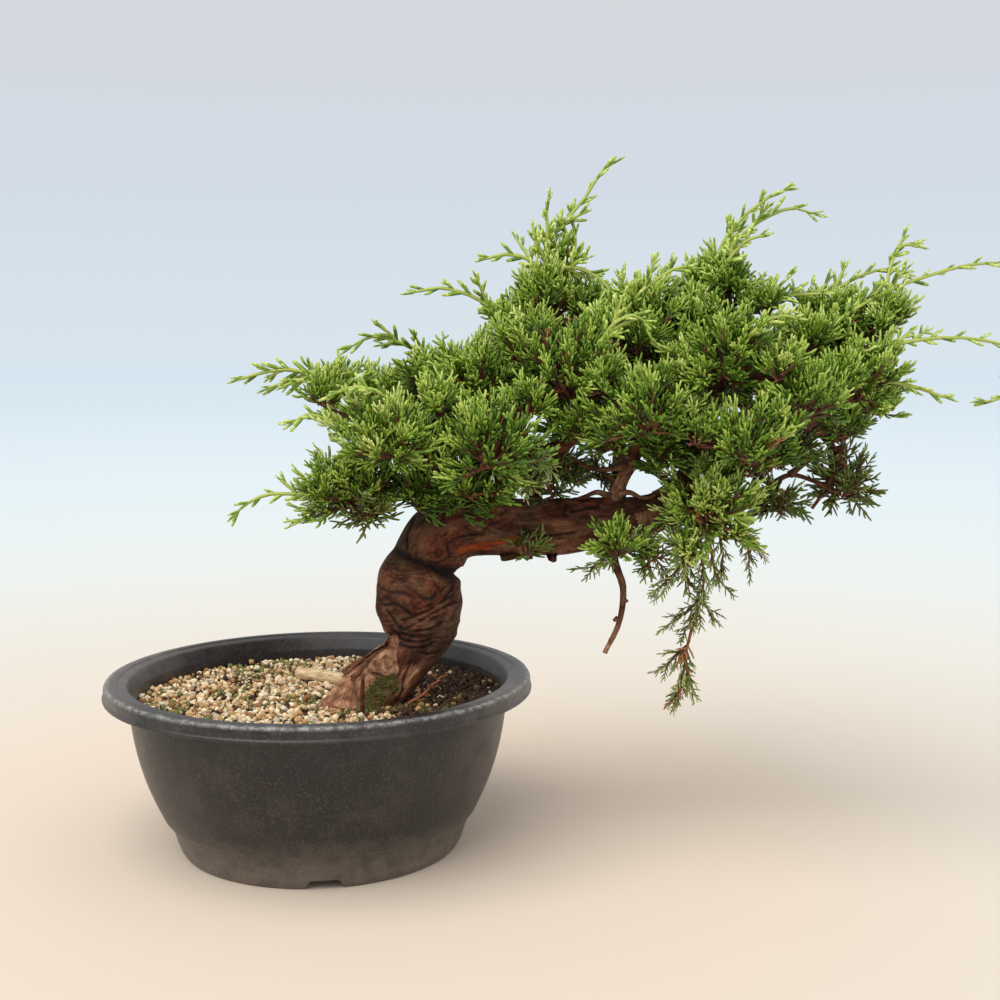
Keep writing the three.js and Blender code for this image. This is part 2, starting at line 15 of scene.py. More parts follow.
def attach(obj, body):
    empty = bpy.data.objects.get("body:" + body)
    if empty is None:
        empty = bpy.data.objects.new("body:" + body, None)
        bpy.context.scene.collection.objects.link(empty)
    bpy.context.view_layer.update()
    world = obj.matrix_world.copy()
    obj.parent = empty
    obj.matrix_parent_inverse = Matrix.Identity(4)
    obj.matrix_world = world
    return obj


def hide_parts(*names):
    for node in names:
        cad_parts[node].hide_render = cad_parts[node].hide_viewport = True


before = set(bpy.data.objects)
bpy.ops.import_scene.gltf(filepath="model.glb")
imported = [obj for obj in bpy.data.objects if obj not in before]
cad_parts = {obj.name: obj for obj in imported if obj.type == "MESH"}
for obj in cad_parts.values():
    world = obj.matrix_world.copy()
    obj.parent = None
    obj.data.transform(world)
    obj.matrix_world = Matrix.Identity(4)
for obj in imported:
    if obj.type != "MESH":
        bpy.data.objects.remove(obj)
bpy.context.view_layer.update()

MM = 0.001
UP = np.array([0.0, 0.0, 1.0])

# Camera: fitted to the ellipses of the pot's rim and foot
CAMERA_PLACE = (102.1, -772, 276)
CAMERA_TILT = 84.06
CAMERA_LENS = 49.75

# Pot: close to the profile of the part's source, with its steps, beads and small round edges
POT_RADIUS = 120
POT_HEIGHT = 97.5
POT_WALL = 3
POT_SEGMENTS = 480
FOOT_RADIUS = 77.5
NOTCHES = 4
NOTCH_TURN = -82
NOTCH_FOOT = 21
NOTCH_TOP = 13.5
NOTCH_HEIGHT = 5.5
DRAIN_RADIUS = 6
DRAIN_CIRCLE = 42
DRILL_REACH = (-2.0, 20.0)
DRILL_SIDES = 48
FLOOR_TOP = 9.0
BODY = [[88.6, 21.4], [93.3, 31.6], [97.8, 43], [101.8, 57], [104.6, 72], [106.2, 88.5]]

# Soil: a low mound under the trunk, covered with grains
SOIL_EDGE = 82.5
GROUND = 86
MOUND_REACH = 74
MOUND_CENTRE = (36, -23)
SOIL_RADIUS = 104.5
GRAIN_SIZES = (2.2, 4.3)
GRAIN_COUNT = 3900
CRUMB_SIZES = (1.1, 2.3)
CRUMB_COUNT = 3600

# Trunk as [x, y, z, radius], a little pinched where the photograph shows it narrower than the part's
# source does, and the roots that spread at its foot as [direction, reach, rise]
TRUNK = [
    [29.5, -25, 84.5, 16.5], [36.8, -22, 91.4, 16], [45.7, -19, 100.8, 15], [53, -16, 109, 15],
    [58.3, -13, 117, 16.5], [59.4, -11.5, 122, 18.6], [58.2, -10, 127, 22], [57.2, -8, 139, 24.2],
    [57.2, -5, 152, 23], [60.2, -3, 163, 17.8],
    [68.5, -1, 174, 19.8], [82, 0, 180.5, 17.6], [102, 1, 180.5, 16], [132, 3, 180, 15.8],
    [158, 6, 182, 14], [178, 9, 184, 12.2], [194, 11, 189, 10.6], [204, 12, 197, 9],
]
ROOTS = [[272, 5, 11], [345, 2, 10], [60, 7, 13], [150, 8, 13]]
ROOT_WIDTH = 27
# The toe: the root that leans on the trunk at the front left, as [height, reach]
TOE = [[84, 13], [90, 14], [97, 16], [105.4, 17.5], [111, 14], [116, 9], [120, 3], [123, 0]]
TOE_HEADING = 206
TOE_WIDTH = 34
# The knot: heights where its wrinkles start, are full, fade and end, and how far to the right it reaches
KNOT = (116, 124, 156, 168)
KNOT_SIDE = 95
TRUNK_STEP = 0.7
TRUNK_SIDES = 150
# Heights between which the rings of the trunk turn from level to square to it
LEVEL_UNTIL = (118, 134)
# Relief of the bark: size in mm of its fibres, plates, cracks and lumps, and of the knot's folds and flakes
FIBRE = 3.2
PLATE = 8.5
CRACK = 12
LUMP = 15
FOLD = 4.5
FLAKE = 8
# Skin of the boughs and of the side twigs: sides and step, and the twigs' radius at the foot and the tip
BOUGH_SIDES = 18
TWIG_SIDES = 8
LIMB_STEP = 1.1
FINE_STEP = 0.8
SIDE_TWIG = (1.5, 0.8)

# Boughs: name, route, radius at the foot and at the tip
BOUGHS = [
    ["leader", [[198, 11, 192], [209, 12, 207], [213, 11, 222], [216, 7, 240]], 8, 4.6],
    ["bough_left_low", [[70, -4, 184], [54, -12, 200], [38, -19, 206]], 4.6, 2.6],
    ["bough_left_front", [[76, -4, 186], [66, -14, 213], [54, -32, 227]], 4.8, 2.7],
    ["bough_left_back", [[80, 4, 186], [68, 13, 222], [50, 19, 244]], 4.8, 2.8],
    ["bough_left_rear", [[88, 8, 184], [76, 36, 212], [60, 55, 228]], 4.6, 2.7],
    ["bough_shoulder", [[91, 2, 186], [92, 0, 222], [87, -5, 248]], 5, 3],
    ["bough_centre_low", [[101, -6, 184], [103, -26, 206], [99, -41, 219]], 4.6, 2.7],
    ["bough_centre", [[100, 2, 186], [111, -4, 213], [127, -8, 223], [142, -9, 231], [142, -15, 250]],
     5.6, 3.2],
    ["bough_apex", [[141, -8, 230], [143, 3, 246], [136, 4, 272], [131, 2, 292]], 4, 2.6],
    ["bough_rear", [[122, 8, 184], [120, 32, 216], [111, 50, 241]], 5, 3],
    ["bough_centre_right", [[163, 5, 186], [171, 3, 207], [177, 1, 220], [180, -2, 246], [180, -4, 268]],
     4.2, 3],
    ["bough_middle_low", [[177, 1, 222], [178, -13, 229], [178, -28, 236]], 3.5, 2.4],
    ["bough_rear_right", [[168, 10, 186], [172, 34, 220], [172, 53, 250]], 5, 3],
    ["bough_low_front", [[175, 1, 217], [187, -5, 213], [199, -12, 204], [206, -17, 200]], 2.2, 1.8],
    ["bough_right_apex", [[215, 7, 236], [221, 8, 266], [225, 6, 294]], 4.4, 2.7],
    ["bough_right_mid", [[214, 8, 230], [219, -8, 246], [223, -21, 260]], 4, 2.6],
    ["bough_right", [[208, 12, 204], [228, 10, 219], [254, 6, 233], [276, 3, 240], [288, -3, 249]], 6, 3],
    ["bough_right_upper", [[256, 6, 234], [267, 7, 258], [274, 5, 281]], 4, 2.6],
    ["bough_right_shade", [[270, 4, 237], [284, 14, 233], [292, 20, 226]], 3.4, 2.4],
    ["bough_right_low", [[242, 8, 227], [252, -15, 238], [259, -31, 246]], 3.4, 2.4],
    ["bough_right_front", [[212, 11, 216], [222, -15, 221], [229, -38, 227]], 3.4, 2.4],
    ["bough_right_rear", [[211, 12, 212], [222, 34, 232], [233, 52, 249]], 4.4, 2.8],
    ["bough_far_rear", [[262, 5, 235], [278, 30, 243], [289, 45, 250]], 3.6, 2.5],
    ["bough_low_right", [[203, 12, 195], [222, 11, 192], [241, 8, 195]], 3.6, 2.4],
    ["bough_hanging", [[194, 9, 186], [203, -2, 174], [206, -7, 160]], 3.8, 2.5],
]
# The middle of the paler stretch at the foot of the bough over the trunk's middle
STUMP = [166, 4, 204]
# Bare side twigs on the trunk and the boughs
SIDE_TWIGS = [
    [[254, 6, 203], [266, 8, 209], [279, 10, 206], [294, 14, 198]],
    [[266, 8, 209], [275, 8, 216], [286, 10, 222], [296, 12, 225]],
    [[296, 12, 225], [294, 14, 214], [289, 16, 201], [281, 16, 189]],
    [[165, 2, 197], [157, 0, 200], [150, -2, 198], [143, -4, 196]],
    [[165, 2, 197], [174, 0, 200], [182, -2, 197], [189, -4, 199]],
    [[173, 0, 215], [161, -2, 213], [150, -4, 215], [143, -6, 220]],
    [[136, -8, 224], [133, -6, 214], [132, -4, 207], [130, -2, 199]],
    [[120, -8, 218], [122, -10, 227], [127, -12, 232]],
    [[194, -2, 196], [196, -6, 200], [200, -10, 201]],
]
DEAD_TWIG = [[164, 0, 176], [166, -4, 162], [171, -7, 147], [169, -8, 128], [161, -8, 110]]
# Stubs on the dead twig: start, end and radius
TWIG_STUBS = [
    [[171, -8, 141], [173.6, -9, 139.4], 0.7],
    [[168, -8, 130], [165.8, -9, 128.6], 0.7],
    [[163.5, -8, 118], [165.6, -9, 117], 0.6],
]
PEELED_ROOT = [[24, -10, 92], [12, 8, 90.6], [-2, 22, 89.8], [-17, 31, 89.4]]

# Masses of foliage: name, centre, half sizes, the bough that carries the mass where its name isn't the
# mass's, or the place that it starts from, the routes of its runners, how much a spire narrows, how young and
# bright it is, and how far its sprays droop. How bright is partly painted shade: masses low in the crown's
# shade are set darker. A runner with one place ends there and arches out of the centre as in the part's
# source. Some masses stand a few millimetres from their place in that source, where the photograph shows them
MASSES = [
    dict(name="foliage_left_low", centre=[24, -22, 204], half=[34, 30, 19], young=0.5, droop=0.25,
         runners=[
             [[19, -30, 204], [0, -30, 202], [-14, -30, 202], [-25, -30, 201], [-36, -30, 196],
              [-43, -30, 189]]]),
    dict(name="foliage_left_front", centre=[45, -50, 234], half=[34, 28, 21], young=0.5,
         runners=[
             [[14, -46, 242], [2, -47, 245], [-8, -48, 240]]]),
    dict(name="foliage_left_back", centre=[38, 22, 246], half=[36, 30, 17], young=0.4,
         runners=[
             [[6, 8, 262], [-14, 6, 268], [-32, 6, 266], [-47, 6, 262]],
             [[11, -6, 256], [-8, -6, 263], [-22, -6, 260], [-29, -6, 257]],
             [[66, 12, 273], [46, 14, 284], [30, 14, 287], [15, 14, 279]]]),
    dict(name="foliage_left_rear", centre=[46, 68, 237], half=[34, 28, 22],
         runners=[
             [[-8, 88, 240]]]),
    dict(name="foliage_shoulder", centre=[88, -8, 262], half=[30, 30, 20], young=0.2,
         runners=[
             [[105, -8, 297], [86, -8, 309], [69, -8, 313], [52, -8, 310]]]),
    dict(name="foliage_centre_low", centre=[97, -54, 230], half=[30, 27, 23], young=-0.1,
         plumes=[
             dict(route=[[108, -40, 224], [113, -42, 216], [117, -42, 208]], size=1.0, young=3, bare=0.4),
             dict(route=[[113, -40, 232], [120, -42, 224], [128, -42, 218]], size=0.9, young=2.6,
                  bare=0.3)]),
    dict(name="foliage_apex", centre=[129, 0, 308], half=[21, 22, 32], narrow=0.45, young=0.3,
         runners=[
             [[127, 0, 307], [131, 3, 340], [139, 4, 350], [149, 5, 363], [158, 5, 377], [167, 5, 383]],
             [[126, -4, 320], [128, -5, 341], [128, -5, 354], [129, -5, 365]],
             [[124, -8, 322], [117, -9, 329], [106, -10, 331], [92, -10, 328]],
             [[143, 8, 326], [144, 8, 344], [140, 8, 358]],
             [[123, -6, 329], [120, -7, 347]]]),
    dict(name="foliage_centre", centre=[137, -26, 269], half=[31, 27, 25], young=-0.3),
    dict(name="foliage_rear", centre=[105, 63, 262], half=[36, 30, 26],
         runners=[
             [[88, 104, 286]]]),
    dict(name="foliage_centre_right", centre=[181, -6, 292], half=[34, 28, 25], young=0.0,
         runners=[
             [[189, -6, 308], [194, -6, 320], [196, -6, 329]],
             [[172, 4, 306], [170, 7, 316], [168, 8, 322]]]),
    dict(name="foliage_middle_low", centre=[177, -44, 246], half=[31, 26, 22], young=-0.2),
    dict(name="foliage_rear_right", centre=[172, 67, 272], half=[34, 30, 26],
         runners=[
             [[180, 108, 300]]]),
    dict(name="foliage_right_apex", centre=[226, 4, 313], half=[20, 21, 27], narrow=0.4,
         runners=[
             [[220, 0, 318], [224, 0, 337], [234, 0, 351], [244, 0, 359], [253, 0, 365], [263, 0, 367]],
             [[222, 6, 324], [234, 12, 340], [247, 12, 351], [264, 12, 358], [281, 12, 354]],
             [[224, -6, 323], [232, -8, 335], [239, -8, 340], [248, -8, 342]]]),
    dict(name="foliage_right_mid", centre=[224, -34, 277], half=[34, 26, 25]),
    dict(name="foliage_right_upper", centre=[284, 5, 291], half=[36, 28, 18], young=0.3,
         runners=[
             [[311, -2, 296], [317, 8, 309], [321, 14, 325], [326, 18, 336], [332, 20, 347]],
             [[278, -18, 289], [291, -12, 299], [307, -4, 308], [326, 2, 316], [346, 4, 323], [368, 4, 328],
              [386, 4, 328]],
             [[270, 10, 305], [291, 16, 314], [307, 20, 322], [324, 22, 325], [335, 22, 322]],
             [[322, 18, 331], [330, 18, 338], [340, 18, 337]],
             [[240, -8, 300], [248, -10, 307], [260, -10, 310], [281, -8, 310]]]),
    dict(name="foliage_right_end", centre=[299, -12, 265], half=[26, 28, 24], on="bough_right", young=0.4,
         runners=[
             [[289, -20, 277], [309, -16, 280], [327, -13, 284], [345, -13, 286], [364, -14, 285],
              [381, -14, 281]],
             [[379, -14, 282], [384, -14, 267], [378, -14, 254], [363, -14, 251]],
             [[309, -18, 263], [326, -20, 260], [346, -22, 253]]]),
    dict(name="foliage_right_front", centre=[232, -52, 230], half=[24, 23, 18]),
    dict(name="foliage_right_shade", centre=[300, 25, 205], half=[20, 24, 26], young=-0.8, droop=0.7),
    dict(name="foliage_right_low", centre=[263, -44, 252], half=[28, 24, 18]),
    dict(name="foliage_right_rear", centre=[238, 67, 264], half=[34, 30, 26],
         runners=[
             [[252, 108, 288]]]),
    dict(name="foliage_far_rear", centre=[298, 60, 258], half=[30, 27, 23],
         runners=[
             [[350, 78, 268]]]),
    dict(name="foliage_low_front", centre=[215, -27, 198], half=[30, 24, 26], young=0.9, droop=0.2,
         plumes=[
             dict(route=[[212, -20, 180], [214, -16, 164], [215, -14, 150], [213, -10, 138]], size=0.95,
                  young=1.3),
             dict(route=[[206, -24, 179], [202, -24, 164], [195, -22, 155], [188, -20, 147]], size=1.0,
                  young=1.6),
             dict(route=[[218, -16, 172], [221, -14, 158], [226, -12, 150], [230, -12, 147]], size=0.8,
                  young=1.0, bare=0.2),
             dict(route=[[222, -12, 183], [226, -10, 170], [225, -10, 154]], size=0.8, young=1.0),
             dict(route=[[235, -10, 186], [240, -10, 172], [241, -10, 156]], size=0.7, bare=0.3),
             dict(route=[[188, -14, 182], [185, -12, 170], [191, -12, 161], [196, -12, 152]], size=0.8,
                  young=0.8, bare=0.3),
             dict(route=[[225, -12, 186], [235, -12, 179], [242, -12, 173], [249, -12, 166]], size=0.6,
                  dry=0.8, bare=0.5)]),
    dict(name="foliage_low_right", centre=[258, 4, 195], half=[18, 16, 13], young=-0.8, droop=0.8),
    dict(name="foliage_hanging", centre=[208, -10, 134], half=[9, 9, 27], tufts=False,
         plumes=[
             dict(route=[[209, -7, 165], [206, -8, 153], [214, -8, 141], [212, -8, 130]], young=0.8),
             dict(route=[[212, -8, 130], [209, -8, 120], [207, -8, 111], [205, -8, 98], [201, -8, 84]],
                  size=1.05, bare=0.3, dry=0.12, young=0.9),
             dict(route=[[213, -8, 141], [207, -10, 134], [200, -12, 131], [197, -12, 127]], size=0.85,
                  young=0.8, bare=0.2),
             dict(route=[[211, -8, 133], [208, -10, 126], [205, -10, 122]], size=0.8, bare=0.2, young=0.6),
             dict(route=[[215, -8, 140], [220, -8, 133], [223, -8, 128]], size=0.75, bare=0.4, young=0.9),
             dict(route=[[207, -8, 114], [201, -8, 109], [194, -8, 101]], size=0.9, bare=0.1, young=1.0),
             dict(route=[[206, -8, 104], [209, -8, 95], [211, -8, 86]], size=0.8, bare=0.2, young=1.0),
             dict(route=[[202, -8, 89], [200, -8, 84], [199, -8, 81]], size=0.6, dry=0.8, bare=0.3)]),
    dict(name="foliage_trunk_front", centre=[167, -30, 173], half=[19, 13, 10], start=[163, -7, 178],
         droop=0.45,
         plumes=[
             dict(route=[[166, -12, 174], [162, -16, 168], [156, -19, 162], [149, -20, 160]], size=0.8)]),
    dict(name="foliage_trunk_twig", centre=[116, -24, 170], half=[8, 7, 9], start=[114, -13, 176],
         young=-1.4, droop=1.0,
         plumes=[
             dict(route=[[52, -36, 88], [58, -33, 91], [64, -31, 96], [70, -30, 101]], size=0.42, dry=1.0,
                  bare=0.2)]),
]
# Clumps of side sprays lower on the boughs, which fill the crown between its masses: centre, half sizes, the
# bough that carries the clump or the place that it starts from, how young it is and how far it droops. How
# young also sets how bright it is, so clumps deep inside the crown are set lower as painted shade
CLUMPS = [
    [[151, -20, 238], [24, 16, 15], "bough_centre", -0.3],
    [[183, -20, 236], [17, 14, 13], "bough_middle_low", -0.5],
    [[137, 12, 211], [15, 12, 11], "bough_centre", -1.4, 0.9],
    [[158, 20, 210], [11, 11, 9], "bough_centre_right", -1.4, 0.9],
    [[116, -34, 209], [10, 10, 14], "bough_centre_low", 0.4, 0.9],
    [[84, -34, 208], [24, 14, 14], "bough_left_front", -0.6, 0.2],
    [[60, -22, 205], [17, 14, 14], "bough_left_low", -0.7, 0.4],
    [[78, -22, 196], [15, 10, 8], [80, -12, 193], -1.0, 0.5],
    [[57, -20, 196], [12, 9, 8], [66, -8, 190], -1.0, 0.5],
    [[98, -24, 197], [15, 10, 9], [98, -10, 193], -1.0, 0.5],
    [[94, 10, 224], [18, 15, 14], "bough_shoulder", -1.2],
    [[31, -27, 192], [18, 14, 10], "bough_left_low", 0.3, 0.8],
    [[106, -2, 292], [13, 13, 11], "bough_apex", 0.2],
    [[120, -14, 288], [14, 11, 12], "bough_apex", 0.1],
    [[150, 0, 300], [10, 12, 12], "bough_apex", 0.2],
    [[213, 4, 310], [11, 12, 12], "bough_right_apex"],
    [[272, -14, 284], [16, 12, 13], "bough_right_upper", 0.3],
    [[312, 0, 292], [13, 14, 14], "bough_right_upper", 0.5],
    [[312, -4, 248], [11, 13, 9], "bough_right", 0.2],
    [[184, -27, 168], [10, 9, 7], [176, -10, 178], -0.2, 0.9],
    [[206, -24, 173], [14, 10, 11], "bough_low_front", 1.2, 0.4],
    [[130, 2, 244], [14, 12, 12], "bough_centre", -1.0, 0.3],
    [[202, 12, 224], [16, 12, 11], "leader", -1.0, 0.6],
    [[209, -28, 239], [15, 12, 13], "bough_right_front", -0.2],
    [[246, -20, 222], [18, 14, 14], "bough_right_low", -0.6],
    [[200, 20, 250], [22, 18, 18], "leader", -0.6],
    [[256, 16, 262], [22, 18, 18], "bough_right_upper", -0.5],
    [[70, -46, 250], [14, 11, 11], "bough_left_front"],
    [[70, -46, 223], [12, 11, 10], "bough_left_front", -0.2],
    [[117, -42, 250], [13, 11, 11], "bough_centre_low", 0.1],
    [[110, -26, 280], [14, 12, 11], "bough_apex", 0.1],
    [[158, -42, 262], [12, 11, 12], "bough_centre", 0.1],
    [[158, -24, 289], [14, 12, 11], "bough_centre_right", 0.2],
    [[201, -38, 264], [12, 11, 12], "bough_right_mid", 0.1],
    [[207, -20, 296], [13, 12, 11], "bough_right_apex", 0.1],
    [[205, -46, 234], [12, 10, 11], "bough_right_front"],
    [[248, -48, 268], [12, 11, 11], "bough_right_mid", 0.1],
    [[250, -48, 238], [11, 10, 10], "bough_right_low"],
    [[284, -34, 262], [12, 11, 11], "bough_right_low", 0.1],
    [[292, -4, 238], [14, 12, 10], "bough_right", -0.4, 0.3],
    [[177, -24, 284], [15, 12, 13], "bough_centre_right"],
    [[220, -26, 213], [17, 12, 11], "bough_low_front", 0.1, 0.2],
    [[234, -30, 216], [13, 11, 11], "bough_right_front", -0.1, 0.2],
    [[190, -22, 227], [12, 10, 10], "bough_middle_low", -0.4, 0.5],
    [[164, -24, 230], [15, 11, 10], "bough_centre", 0.1, 0.4],
    [[143, -24, 234], [13, 11, 9], "bough_centre", 0.0, 0.4],
    [[12, 4, 260], [11, 10, 8], "bough_left_back", 0.6],
    [[8, -34, 254], [10, 10, 9], "bough_left_front", 0.6],
    [[62, 2, 263], [20, 16, 9], "bough_left_back", 0.2],
    [[134, 4, 326], [6, 8, 12], "bough_apex", 0.4],
    [[249, -8, 300], [13, 12, 8], "bough_right_upper", 0.2],
    [[319, 0, 297], [9, 10, 13], "bough_right_upper", 0.6],
    [[226, -18, 181], [13, 12, 9], "bough_low_front", 0.8, 0.4],
    [[193, -12, 219], [12, 10, 8], "bough_middle_low", -0.8, 0.6],
    [[139, 2, 212], [13, 9, 9], "bough_centre", -1.0, 0.75],
    [[131, 0, 200], [11, 8, 5], "bough_centre", -1.2, 0.65],
    [[268, 0, 223], [17, 14, 14], "bough_right_shade", -0.8, 0.65],
    [[256, 14, 218], [14, 12, 12], "bough_low_right", -0.9, 0.65],
    [[299, 18, 234], [18, 14, 12], "bough_right_shade", -0.6, 0.5],
    [[74, 58, 232], [15, 13, 12], "bough_left_rear", -0.2],
    [[76, 46, 262], [15, 13, 11], "bough_rear"],
    [[139, 58, 250], [15, 13, 13], "bough_rear", -0.2],
    [[138, 40, 284], [14, 12, 11], "bough_rear"],
    [[205, 58, 254], [15, 13, 13], "bough_rear_right", -0.2],
    [[204, 42, 288], [14, 12, 11], "bough_rear_right"],
    [[268, 56, 246], [15, 13, 12], "bough_right_rear", -0.2],
    [[298, 28, 262], [13, 11, 12], "bough_far_rear"],
    [[8, -30, 203], [11, 10, 8], "bough_left_low", 0.4, 0.5],
]
# Young shoots that lie over the crown, with the mass that each one grows from
SHOOTS = [
    ["foliage_apex", [[131, -6, 324], [143, -12, 324], [155, -16, 318], [164, -18, 308]]],
    ["foliage_centre_right",
     [[167, -20, 297], [179, -22, 311], [191, -22, 320], [201, -20, 324], [211, -18, 321]]],
    ["foliage_centre", [[153, -44, 282], [162, -46, 293], [171, -46, 297], [181, -46, 292]]],
    ["foliage_left_front", [[46, -56, 253], [37, -62, 259], [25, -62, 260], [15, -60, 256]]],
    ["foliage_right_mid", [[228, -50, 282], [237, -52, 292], [248, -50, 297], [259, -48, 295]]],
]
BLUNTNESS = 2.5
RUNNER_RISE = 0.12

# Foliage: cords of scale leaves in sprays, sprays in tufts, tufts all round each mass
LEAF_COLOURS = ["#34490b", "#4f6d13", "#718f21", "#93ab3c", "#b0c258", "#ccd67c", "#74452a", "#9c6238",
                "#a3ad4a", "#68782f", "#9dab62", "#b9c58e"]
STEM_LOOK = 8
CORD_RADIUS = 0.76
NEEDLE_RADIUS = 0.68
FRINGE = 2
TUFT_SPACING = 19.3
TUFT_CHANCE = 0.4
LONG_TUFTS = (0.94, 1.12)
SHORT_TUFTS = (0.76, 0.94)
SPRAY_STEP = 3.25
SPRAY_KINDS = 10
DENSE, SPRIG, OPEN = 0, 1, 2
OPEN_SHARE = 0.42
GOLDEN_TURN = math.pi * (3 - math.sqrt(5))
MOST_TRIANGLES = 190000
# Twigs and shoots: radius at the foot and at the tip
TUFT_TWIG = (0.85, 0.5)
PLUME_TWIG = (1.0, 0.45)
SHOOT_STEM = (1.3, 0.85)
# How far sprays open off their twig at its foot and at its tip, in degrees
TUFT_OPENING = (58, 8)
PLUME_OPENING = (48, 14)
SHOOT_OPENING = (36, 23)
# Tufts: the bare share of the twig, the share that counts for the number of sprays and the least number,
# how far sprays lift, how far they sag where a mass droops, and how often an inner one is dry
TUFT_BARE = 0.33
LEAFY_SHARE = 0.84
LEAST_SPRAYS = 5
SPRAY_LIFT = 0.28
SPRAY_SAG = 0.75
DRY_CHANCE = 0.025
# Steps between the sprays of a plume, and of a shoot at its foot and at its tip
PLUME_STEP = 1.7
SHOOT_STEPS = (3.6, 8.5)
SIDE_SHOOT_CHANCE = 0.36
SIDE_SHOOT_LENGTHS = (13, 22)
# Forks in each mass, how far out they stand, and how far the tip of a tuft stays inside the mass
FORKS = 5
FORK_REACH = 0.34
TIP_MARGIN = 9.5


def linear(colour):
    """Linear red, green, blue and alpha of an sRGB hex colour."""
    shares = [int(colour[i:i + 2], 16) / 255 for i in (1, 3, 5)]
    return [s / 12.92 if s <= 0.04045 else ((s + 0.055) / 1.055) ** 2.4 for s in shares] + [1.0]


def unit(vectors):
    """The same directions, each one long."""
    return vectors / np.maximum(np.linalg.norm(vectors, axis=-1, keepdims=True), 1e-9)


def eased(value, low, high):
    """0 below low, 1 above high, and a smooth rise between them."""
    share = np.clip((value - low) / (high - low), 0, 1)
    return share * share * (3 - 2 * share)


def mixed(low, high, share):
    """The value a share of the way from low to high."""
    return low + (high - low) * share


def scattered(cells, seed):
    """A number from -1 to 1 for each whole-numbered cell."""
    number = (cells * [73856093, 19349663, 83492791]).sum(-1) + seed * 9176
    number = (number ^ (number >> 13)) * 1274126177
    return ((number ^ (number >> 16)) & 0xFFFF) / 32767.5 - 1


def lumps(points, size, seed):
    """Smooth noise from -1 to 1 whose lumps are the given size in millimetres."""
    at = points / size
    cell = np.floor(at).astype(np.int64)
    share = at - cell
    share = share * share * (3 - 2 * share)
    total = np.zeros(at.shape[:-1])
    for corner in np.ndindex(2, 2, 2):
        weight = np.prod(np.where(corner, share, 1 - share), axis=-1)
        total += weight * scattered(cell + corner, seed)
    return total


def rough(points, size, seed):
    """Noise with finer noise on it."""
    return sum(lumps(points, size / 2 ** k, seed + k) / 2 ** k for k in range(3)) / 1.75


# Materials


def node(tree, kind, inputs=None, stops=None, **settings):
    """Adds a node with its settings. An input is a value or the socket that feeds it."""
    made = tree.nodes.new(kind)
    for name, value in settings.items():
        setattr(made, name, value)
    for name, value in (inputs or {}).items():
        if isinstance(value, bpy.types.NodeSocket):
            tree.links.new(value, made.inputs[name])
        else:
            made.inputs[name].default_value = value
    if stops:
        elements = made.color_ramp.elements
        while len(elements) < len(stops):
            elements.new(1.0)
        for element, (place, colour) in zip(elements, stops):
            element.position = place
            element.color = linear(colour)
    return made


def material(name, roughness, colour="#808080", **values):
    """A material with its main shader. Returns the material, its nodes and that shader."""
    made = bpy.data.materials.new(name)
    made.use_nodes = True
    made.diffuse_color = linear(colour)
    shader = made.node_tree.nodes["Principled BSDF"]
    shader.inputs["Base Color"].default_value = linear(colour)
    shader.inputs["Roughness"].default_value = roughness
    for socket, value in values.items():
        shader.inputs[socket.replace("_", " ")].default_value = value
    return made, made.node_tree, shader


def per_mm(size):
    """Scale of a pattern whose repeat is the given number of millimetres."""
    return 1 / (size * MM)


